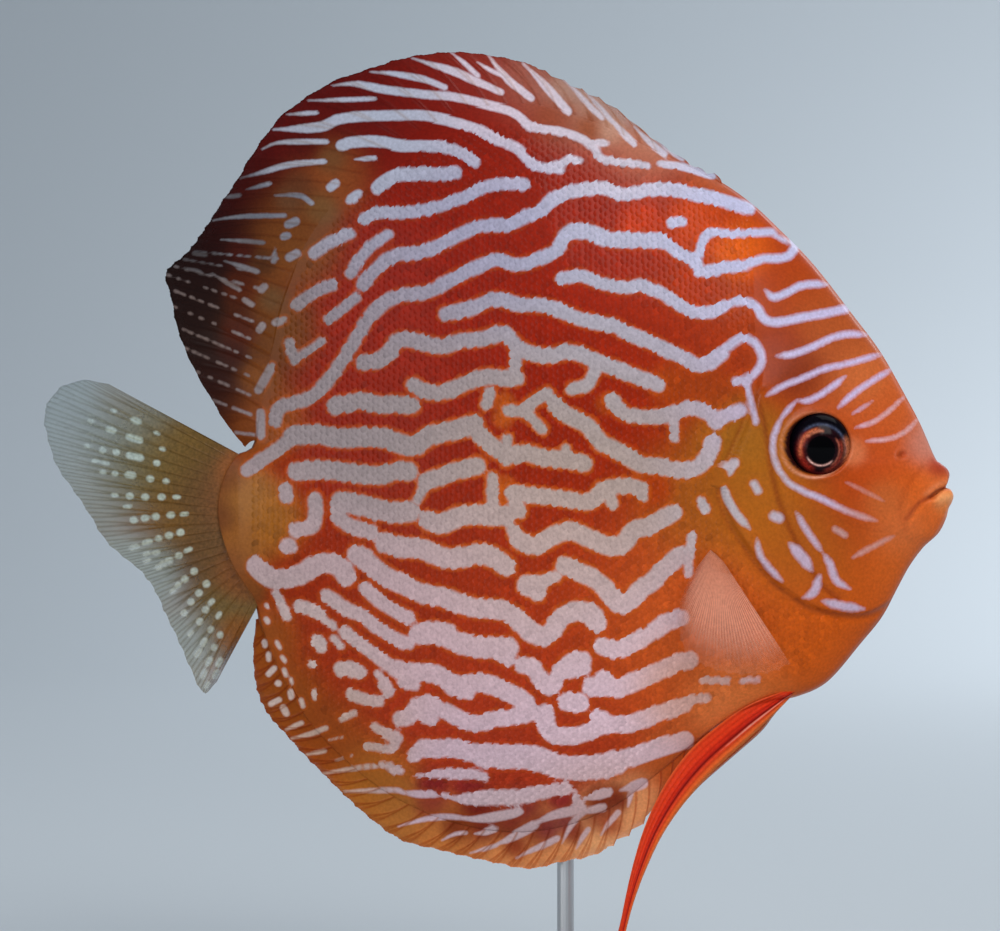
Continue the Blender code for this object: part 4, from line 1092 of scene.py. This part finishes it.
def add_eye(name, node, side, material):
    """An eyeball with its poles at the front and the back."""
    spot = place(*EYE_SPOT, side * (half_width(*EYE_SPOT) + EYE_BULGE - EYE_DEPTH) * MM)
    built = bmesh.new()
    bmesh.ops.create_uvsphere(built, u_segments=EYE_SPOKES, v_segments=EYE_RINGS, radius=1)
    bmesh.ops.rotate(built, verts=built.verts, matrix=Matrix.Rotation(math.radians(90), 3, "X"))
    bmesh.ops.scale(built, verts=built.verts, vec=Vector((EYE_RADIUS, EYE_DEPTH, EYE_RADIUS)) * MM)
    bmesh.ops.translate(built, verts=built.verts, vec=Vector(spot))
    mesh = bpy.data.meshes.new(name)
    built.to_mesh(mesh)
    built.free()
    points = np.array([vert.co for vert in mesh.vertices])
    pupil = place(*PUPIL)
    across, down = (points[:, 0] - pupil[0]) / SQUARE, (pupil[2] - points[:, 2]) / SQUARE
    away = np.hypot(across, down)
    reach = np.where((points[:, 1] - spot[1]) * side < 0, BACK_OF_EYE, away)
    tint = tone_between(IRIS_TONES, reach)
    for ring, width, (aim_u, aim_v), least, tone in IRIS_FLECKS_AND_GLINTS:
        toward = (across * aim_u + down * aim_v) / np.maximum(away, 1)
        fleck_and_glint = FLECK_AND_GLINT_STRENGTH * bell(reach - ring, width) * step(least, 0.5 + 0.5 * least, toward)
        tint = tint + fleck_and_glint[:, None] * (tone - tint)
    mesh.materials.append(material)
    mesh.shade_smooth()
    eye = show(name, mesh)
    colour_attribute(mesh, "tint", tint)
    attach(eye, "root")
    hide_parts(node)


iris, tree, shader = new_material("eye", Roughness=0.3, Specular_IOR_Level=0.0, Coat_Weight=0.4,
                                  Coat_Roughness=0.12, Coat_IOR=1.25)
flecks = specks(tree, own_spots(tree), scale=2600.0, detail=3.0)
tree.links.new(mottled(tree, stored(tree, "tint", "Color"), flecks, 0.4), shader.inputs["Base Color"])
add_eye("eyeball_right", "eye_right", -1, iris)
add_eye("eyeball_left", "eye_left", 1, iris)

# The dorsal fin runs from the nape to the tail's stem: ten stiff spines in front, whose tips stand clear of
# the membrane, then soft rays that branch. It is one thin skin, fixed along its foot, and the stripes of the
# flank run on up it.
# Guides of the fin's spread: column and row of a foot on the back, then of the tip over it
DORSAL_GUIDES = [
    (722, 186, 714, 173), (700, 173, 690, 163), (670, 158, 650, 136), (638, 142, 611, 104),
    (600, 125, 571, 83), (563, 112, 529, 63), (530, 104, 488, 54), (497, 103, 448, 51),
    (463, 110, 404, 57), (437, 120, 366, 69), (418, 131, 328, 83), (395, 146, 285, 112),
    (383, 153, 268, 131), (368, 166, 250, 157), (352, 180, 236, 181), (335, 196, 221, 203),
    (318, 218, 207, 225), (292, 262, 187, 252), (275, 308, 165, 272), (269, 338, 170, 297),
    (265, 362, 175, 324), (262, 384, 184, 350), (259, 404, 197, 377), (258, 420, 213, 404),
    (257, 434, 229, 430), (256, 444, 244, 447),
]
DORSAL_COUNT, DORSAL_SPINES, DORSAL_ROWS, DORSAL_BULGE = 40, 10, 38, -5
FIN_EDGE_HALF, RAY_HEIGHT = 0.12, 0.14
SPINE_STEP, SOFT_STEP, SOFT_RAGGED = 6.0, 1.4, 0.9
NOTCH_LIMIT, FIN_TAPER = 0.3, 1.7
RAY_COLUMNS, FIN_SINK = 16, 7
GUIDE_STEPS = 6


def evenly(line, count):
    """count points evenly spaced along a line."""
    run = run_of(line)
    wanted = np.linspace(0, run[-1], count)
    return np.stack([np.interp(wanted, run, column) for column in line.T], axis=1)


def ripple(along, share):
    """How far the fin's soft rear leaves the fish's plane, in mm."""
    return 1.3 * np.sin(2.4 * math.pi * along) * share ** 2 * np.minimum(1.0, 1.6 * along)


def ray_strength(phase, share, spines, spread):
    """How much of a ray there is at a spot: soft rays split in two, and again near the edge."""
    nearest = np.round(phase)
    soft = nearest >= spines
    first = np.where(soft, 0.25 * spread * step(0.25, 0.9, share), 0.0)
    second = np.where(soft, 0.125 * spread * step(0.55, 1.0, share), 0.0)
    width = np.where(soft, 0.085 - 0.04 * share, 0.10 - 0.045 * share)
    branches = [one * first + two * second for one in (-1, 1) for two in (-1, 1)]
    return np.max([bell(phase - nearest - branch, width) for branch in branches], axis=0)


def midline_fin(guides, count, spines, rows, bulge, aside, root_share=1.3, spread=0.6):
    """The two sides of a fin of the midline, where they lie on the drawing and outward, and their rays."""
    line = evenly(smooth_line(guides, GUIDE_STEPS), RAY_COLUMNS * (count - 1) + 1)
    feet, tips = line[:, :2], line[:, 2:]
    feet = feet + unit(FLESH_CENTRE - feet) * FIN_SINK
    phase = (np.arange(len(feet)) / RAY_COLUMNS)[:, None]
    share = np.linspace(0, 1, rows)[None]
    ahead, reach = unit(tips - feet), np.linalg.norm(tips - feet, axis=1)
    behind = phase[:, 0] % 1
    ragged = generator.uniform(0, SOFT_RAGGED, len(behind))
    drop = np.where(phase[:, 0] < spines - 0.5,
                    SPINE_STEP * np.minimum(behind ** 0.7, (1 - behind) / 0.12),
                    SOFT_STEP * np.abs(np.sin(math.pi * behind)) + ragged)
    reach = (reach - np.minimum(drop, NOTCH_LIMIT * reach))[:, None]
    bend = bulge * np.sin(math.pi * share)
    u = feet[:, :1] + ahead[:, :1] * reach * share + ahead[:, 1:] * bend
    v = feet[:, 1:] + ahead[:, 1:] * reach * share - ahead[:, :1] * bend
    ray = ray_strength(phase, share, spines, spread)
    root = rim.at(np.arctan2(*(feet - FLESH_CENTRE).T[::-1]), rim.edge)[:, None] * root_share
    half = FIN_EDGE_HALF + (root - FIN_EDGE_HALF) * (1 - share) ** FIN_TAPER
    half = half + RAY_HEIGHT * ray * np.minimum(1, 5 * share) * (1.15 - share)
    middle = aside(phase / (count - 1), share)
    sides = place(u, v, (middle - half) * MM), place(u, v, (middle + half) * MM)
    return sides, u, v, np.broadcast_to(share, u.shape), ray


def fin_paint(name, roughness, wobble, ray_tone, see_through, mottle=0.12):
    """Fin skin: the same stripes, rays of another tone, and a membrane that can be seen through."""
    material = skin_paint(name, roughness=roughness, coat=0.04, wobble=wobble, mottle=mottle, gloss=0.06)
    tree = material.node_tree
    shader = tree.nodes["Principled BSDF"]
    ray = stored(tree, "ray")
    painted = shader.inputs["Base Color"].links[0].from_socket
    toned = mixed(tree, ray, painted, (*ray_tone, 1), "MULTIPLY")
    tree.links.new(toned, shader.inputs["Base Color"])
    gone = worked(tree, "MULTIPLY", stored(tree, "clear"), worked(tree, "MULTIPLY_ADD", ray, -0.6, 1.0))
    tree.links.new(worked(tree, "MULTIPLY_ADD", gone, -see_through, 1.0), shader.inputs["Alpha"])
    return material


def add_fin(name, nodes, slot_name, material, sides, flip, ground, pale, **numbers):
    """A fin as one closed skin between its two sides, painted alike on both, in place of its CAD nodes."""
    rows, columns = sides[0].shape[:2]
    far = rows * columns
    near_faces = grid_faces(rows, columns)
    loop = np.concatenate([
        np.arange(rows) * columns, (rows - 1) * columns + np.arange(1, columns),
        np.arange(rows - 2, -1, -1) * columns + columns - 1, np.arange(columns - 2, 0, -1),
    ])
    after = np.roll(loop, -1)
    edge_faces = np.stack([loop, loop + far, after + far, after], axis=-1)
    faces = np.concatenate([near_faces, near_faces[:, ::-1] + far, edge_faces])
    piece = join_mesh(name, np.stack(sides).reshape(-1, 3), faces[:, ::-1] if flip else faces, material)
    for layer, colours in (("ground", ground), ("pale", pale)):
        colour_attribute(piece.data, layer, np.tile(colours.reshape(-1, 3), (2, 1)))
    for layer, values in numbers.items():
        number_attribute(piece.data, layer, np.tile(values.ravel(), 2))
    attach(piece, "root")
    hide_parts(*nodes)


# Rows of small pale dashes between the dark rear rays
DASHED_RAYS, DASH_SHARES, DASH_GAPS = (28, 39), (0.16, 0.95, 0.085), 0.15
DASH_STAGGER, DASH_SCATTER = 0.03, 0.012
DASH_WIDTH, DASH_WIDTHS = 2.3, (0.75, 1.15)
DASH_LENGTH, DASH_LENGTHS = 3.5, (0.7, 1.2)
between = evenly(smooth_line(DORSAL_GUIDES, GUIDE_STEPS), 2 * DORSAL_COUNT - 1)
for k in range(*DASHED_RAYS):
    u0, v0, u1, v1 = between[2 * k + 1]
    for share in np.arange(*DASH_SHARES):
        if generator.random() < DASH_GAPS:
            continue
        at = share + DASH_STAGGER * (k % 2) + generator.normal(0, DASH_SCATTER)
        size = DASH_LENGTH * generator.uniform(*DASH_LENGTHS) / math.hypot(u1 - u0, v1 - v0) / 2
        ends = [(u0 + (u1 - u0) * s, v0 + (v1 - v0) * s) for s in (at - size, at + size)]
        lay_stripe(ends, DASH_WIDTH * generator.uniform(*DASH_WIDTHS))

fin_skin = fin_paint("fin_skin", roughness=0.4, wobble=1.4, ray_tone=(0.86, 0.77, 0.7), see_through=0.75)
sides, u, v, share, ray = midline_fin(
    DORSAL_GUIDES, DORSAL_COUNT, DORSAL_SPINES, DORSAL_ROWS, DORSAL_BULGE, ripple)
clear = 0.6 * step(500, 640, u) * step(0.1, 0.7, share) + 0.10 * step(0.8, 1.0, share)
add_fin("dorsal_fin", ("dorsal_fin_spiny", "dorsal_fin_soft"), "fin_skin", fin_skin, sides, False,
        zone_colour(GROUND_ZONES_WITH_PAINTED_LIGHT, u, v), zone_colour(PALE_ZONES_WITH_PAINTED_SHADE, u, v),
        depth=stripe_depth(u, v), ray=ray, clear=clear)

# The anal fin mirrors it below, from the vent to the tail's stem: eight spines, then soft rays, in one thin
# skin that is fixed along its foot. Its rays are darker and its edge is golden.
ANAL_GUIDES = [
    (712, 730, 702, 746), (695, 742, 686, 758), (672, 760, 664, 790), (650, 778, 645, 823),
    (628, 795, 619, 843), (605, 810, 592, 857), (580, 821, 562, 863), (552, 829, 530, 870),
    (525, 832, 500, 865), (498, 831, 468, 858), (468, 826, 437, 850), (438, 817, 400, 840),
    (408, 805, 367, 816), (380, 788, 340, 791), (356, 770, 320, 771), (336, 750, 300, 751),
    (318, 732, 284, 733), (303, 714, 272, 721), (290, 695, 263, 708), (280, 672, 256, 691),
    (272, 652, 253, 672), (266, 635, 252, 655), (262, 620, 253, 637), (260, 611, 255, 620),
]
ANAL_COUNT, ANAL_SPINES, ANAL_ROWS, ANAL_BULGE = 38, 8, 30, 3
sides, u, v, share, ray = midline_fin(ANAL_GUIDES, ANAL_COUNT, ANAL_SPINES, ANAL_ROWS, ANAL_BULGE, ripple)
clear = 0.2 * step(0.7, 1.0, share) * step(500, 600, u) + 0.2 * step(0.8, 1.0, share)
anal_skin = fin_paint("anal_fin_skin", roughness=0.4, wobble=1.4, ray_tone=(0.72, 0.50, 0.40),
                      see_through=0.75)
add_fin("anal_fin", ("anal_fin_spiny", "anal_fin_soft"), "fin_skin", anal_skin, sides, False,
        zone_colour(GROUND_ZONES_WITH_PAINTED_LIGHT, u, v), zone_colour(PALE_ZONES_WITH_PAINTED_SHADE, u, v),
        depth=stripe_depth(u, v), ray=ray, clear=clear)

# The tail fin is a fan of branched rays on the end of the tail's stem, olive at its base, spotted, and as
# clear as wet film at its edge. Its upper lobe leads to the right and its lower lobe sweeps to the left.
TAIL_GUIDES = [
    (237, 457, 110, 384), (231, 463, 82, 380), (227, 470, 57, 391), (224, 478, 45, 414),
    (221, 488, 49, 442), (219, 498, 57, 467), (218, 508, 72, 489), (219, 518, 88, 514),
    (220, 528, 104, 541), (223, 538, 122, 558), (226, 548, 139, 573), (230, 558, 153, 594),
    (234, 567, 163, 618), (239, 576, 174, 642), (244, 585, 186, 671), (250, 593, 199, 697),
    (256, 600, 212, 686),
]
TAIL_COUNT, TAIL_ROWS = 23, 50
TAIL_GROUND = [
    (236, 480, 9, 150, 88, 44), (224, 500, 14, 126, 78, 42), (196, 500, 20, 100, 70, 38),
    (160, 475, 22, 112, 84, 36), (130, 470, 20, 112, 104, 70), (100, 440, 24, 126, 132, 122),
    (66, 410, 26, 134, 148, 150), (130, 400, 16, 120, 112, 88), (165, 520, 16, 120, 84, 36),
    (238, 572, 12, 140, 82, 38), (200, 560, 20, 106, 74, 40), (205, 620, 20, 116, 92, 50),
    (150, 570, 16, 128, 132, 112), (182, 640, 14, 132, 134, 112), (196, 684, 12, 136, 128, 98),
    (232, 635, 9, 142, 84, 34), (216, 678, 8, 142, 92, 44),
]
TAIL_PALE = [
    (120, 450, 60, 176, 190, 184), (200, 600, 60, 190, 192, 178), (190, 500, 40, 178, 184, 166),
]
# Each row of the tail fin's spots is the spots' width and length, then their places
TAIL_SPOTS = """
6.5 17 135,438.5 135.7,456.5
6 10 137,421 112,430 131,475
6 6 117,452 103.6,450 150.7,478.7 145.5,497 130,496 162,497 171,515 156,516.5 145,518 133.5,520 169,535.5
 180.5,532.5
5.5 5.5 178.5,555.8 168.5,560.5 193.5,571.5 184,579.5 206,584 198,593.3 189.6,602.4 182,614 204.5,610.3
 198,622.4 157.5,463
5 5 115.7,473.5 103.6,472 166.7,481 158.5,538.5 157.3,567.3 162.7,563.6 176.7,585.5 209.4,630.3 219,635.8
 212.4,648.5
4.5 9 147,542.4 201.5,643.6 195.5,654.5 206.4,663 200.3,676.4 217,664 213,676.4 133.4,547.5
3.5 6 92,421 115,411 88.7,446 157.5,433 163.3,449 115,495.3 177,497 171.2,591.5 188,635 210.6,602.4
 217.9,615.8 155.5,553
3 7 145.8,554 145.8,561 127.7,506.2 96,461 106,463 188,550 184.5,514 203.9,688
"""
TAIL_MIDDLE = (308, 498)


def tail_bend(along, share):
    """How far the tail fin swings to the fish's left, in mm."""
    return (-3 + 12 * along ** 1.5) * share ** 1.4


for width, length, *spots in read_rows(TAIL_SPOTS):
    for u, v in spots:
        out_u, out_v = u - TAIL_MIDDLE[0], v - TAIL_MIDDLE[1]
        half = (length - width + 1) / 2 / math.hypot(out_u, out_v)
        lay_stripe([(u + out_u * k, v + out_v * k) for k in (-half, half)], width)
sides, u, v, share, ray = midline_fin(
    TAIL_GUIDES, TAIL_COUNT, 0, TAIL_ROWS, 0, tail_bend, root_share=1.1, spread=1.0)
tail_skin = fin_paint("tail_fin_skin", roughness=0.35, wobble=1.2, ray_tone=(0.76, 0.7, 0.6),
                      see_through=0.9, mottle=0.24)
faded_ray = ray * step(0.0, 0.35, share) * (1 - 0.5 * step(0.45, 0.95, share))
add_fin("tail_fan", ("tail_fin",), "clear_fin_skin", tail_skin, sides, False,
        zone_colour(TAIL_GROUND, u, v), zone_colour(TAIL_PALE, u, v),
        depth=stripe_depth(u, v), ray=faded_ray, clear=0.12 + 0.6 * step(0.35, 0.9, share))

# The pectoral fins are small clear fans behind the gill covers, fixed at their short foot, folded down along
# the flank and standing a little off it at their tips.
PECTORAL_FOOT = [(706, 548), (712, 553), (719, 560)]
PECTORAL_TIPS = [
    (683, 574), (674, 600), (673, 624), (680, 646), (697, 661), (722, 669), (745, 671), (767, 668),
    (784, 660),
]
PECTORAL_COUNT, PECTORAL_ROWS, PECTORAL_BRANCHES = 16, 30, 3
PECTORAL_STANDOFF, PECTORAL_TUCK, PECTORAL_ROOT_HALF, PECTORAL_RAY_HEIGHT, FIN_GAP = 6.0, 1.2, 0.7, 0.04, 0.3
FILM_FOOT, FILM_EDGE, FILM_STRIPE = srgb(214, 124, 84), srgb(234, 162, 136), srgb(226, 180, 160)
FILM_CLEAREST = 1.05
film = fin_paint("pectoral_film", roughness=0.3, wobble=1.0, ray_tone=(1.0, 1.0, 1.0), see_through=0.9)


def add_pectoral(name, node, side):
    """One pectoral fin."""
    columns = RAY_COLUMNS * (PECTORAL_COUNT - 1) + 1
    feet, tips = (evenly(smooth_line(line, LINE_STEPS), columns) for line in (PECTORAL_FOOT, PECTORAL_TIPS))
    phase = (np.arange(columns) / RAY_COLUMNS)[:, None]
    share = np.linspace(0, 1, PECTORAL_ROWS)[None]
    ray = (0.5 + 0.5 * np.cos(2 * math.pi * PECTORAL_BRANCHES * phase)) * (1 - step(0.45, 0.95, share))
    ends = 1 - 0.022 * np.abs(np.sin(math.pi * phase))
    u = feet[:, :1] + (tips - feet)[:, :1] * share * ends
    v = feet[:, 1:] + (tips - feet)[:, 1:] * share * ends
    half = FIN_EDGE_HALF + (PECTORAL_ROOT_HALF - FIN_EDGE_HALF) * (1 - share) ** 2
    half = half + PECTORAL_RAY_HEIGHT * ray * np.minimum(1, 3 * share) * (1.1 - share)
    middle = half_width(u, v) + FIN_GAP + PECTORAL_ROOT_HALF
    middle = middle + PECTORAL_STANDOFF * share ** 1.3 - PECTORAL_TUCK * (1 - share) ** 3
    clear = 0.45 + 0.6 * step(0.35, 0.97, share) + 0.5 * step(2.6, 0.0, phase) * step(0.1, 0.5, share)
    clear = clear + 0.3 * step(9, 15, phase) * step(0.75, 0.35, share) + 0.2 * step(0.35, 0.0, share)
    tone = (0.5 + 0.5 * share)[..., None] * np.ones((columns, 1, 1))
    add_fin(name, (node,), "clear_fin_skin", film,
            [place(u, v, side * (middle + turn * half) * MM) for turn in (1, -1)], side < 0,
            FILM_FOOT + (FILM_EDGE - FILM_FOOT) * tone, np.broadcast_to(FILM_STRIPE, u.shape + (3,)),
            depth=np.full(u.shape, NO_STRIPE), ray=ray, clear=np.minimum(clear, FILM_CLEAREST))


add_pectoral("pectoral_right", "pectoral_fin_right", -1)
add_pectoral("pectoral_left", "pectoral_fin_left", 1)

# The pelvic fins hang from the keel of the breast. Each is a stiff bright red spine and a few soft rays,
# bound into a long blade that draws out into a thread.
# The middle of each blade from its foot to its tip: column, row and width
PELVIC_NEAR = [
    (795, 689, 5), (777, 699, 15), (759, 711, 24), (738, 727, 29), (703, 757, 31), (676, 789, 27),
    (654, 826, 20), (639, 863, 14), (628, 899, 9), (619, 938, 6), (609, 985, 2),
]
PELVIC_FAR = [
    (797, 689, 5), (781, 698, 14), (766, 710, 22), (751, 725, 26), (721, 753, 24), (690, 785, 19),
    (664, 821, 15), (645, 857, 11), (632, 897, 7), (622, 935, 5), (614, 962, 2),
]
PELVIC_ROWS, PELVIC_COLUMNS, PELVIC_RAYS = 110, 49, 6
PELVIC_TIP_HALF, PELVIC_ROOT_MORE, PELVIC_RAY_HEIGHT = 0.10, 0.55, 0.10
# Tones across the blade, from its hind edge to its front edge: the fin's own reds, painted lighter as
# painted light for a blade that faces down, away from the lamps
PELVIC_TONES_WITH_PAINTED_LIGHT = [
    (0.0, srgb(226, 96, 48)), (0.08, srgb(214, 62, 28)), (0.30, srgb(226, 60, 26)),
    (0.50, srgb(206, 42, 20)), (0.60, srgb(130, 14, 10)), (0.68, srgb(222, 64, 34)),
    (0.85, srgb(230, 96, 38)), (1.0, srgb(226, 132, 70)),
]
PELVIC_STREAK, PELVIC_STREAK_TONE = 0.68, srgb(230, 150, 130)
pelvic_skin = fin_paint("pelvic_skin", roughness=0.33, wobble=1.0, ray_tone=(0.85, 0.7, 0.65),
                        see_through=0.5)


def add_pelvic(name, node, path, side):
    """One pelvic fin."""
    line = evenly(smooth_line(path, FINE_STEPS), PELVIC_ROWS)
    ahead = unit(np.gradient(line[:, :2], axis=0))
    share = np.linspace(0, 1, PELVIC_ROWS)[:, None]
    across = np.linspace(-0.5, 0.5, PELVIC_COLUMNS)[None]
    u = line[:, :1] + ahead[:, 1:] * line[:, 2:] * across
    v = line[:, 1:2] - ahead[:, :1] * line[:, 2:] * across
    ray = bell((across + 0.5) * PELVIC_RAYS % 1 - 0.5, 0.22) * np.ones_like(share)
    round_off = np.sqrt(np.clip(1 - (2 * across) ** 2, 0, 1))
    half = (PELVIC_TIP_HALF + PELVIC_ROOT_MORE * (1 - share) ** 1.5) * (0.35 + 0.65 * round_off)
    half = half + PELVIC_RAY_HEIGHT * ray * (1 - share) * round_off
    middle = np.maximum(1.1 + 5 * share ** 1.2, half_width(u, v) + 0.1) + half - 1.6 * step(0.07, 0.0, share)
    spots = (across + 0.5) * np.ones_like(share)
    streak = 3.5 * bell(spots - PELVIC_STREAK, 0.05) * step(0.40, 0.15, share) - 3.0
    add_fin(name, (node,), "pelvic_skin", pelvic_skin,
            [place(u, v, side * (middle + turn * half) * MM) for turn in (1, -1)], side < 0,
            tone_between(PELVIC_TONES_WITH_PAINTED_LIGHT, spots), np.broadcast_to(PELVIC_STREAK_TONE, u.shape + (3,)),
            depth=streak, ray=ray, clear=step(0.86, 1.0, spots))


add_pelvic("pelvic_right", "pelvic_fin_right", PELVIC_NEAR, -1)
add_pelvic("pelvic_left", "pelvic_fin_left", PELVIC_FAR, 1)
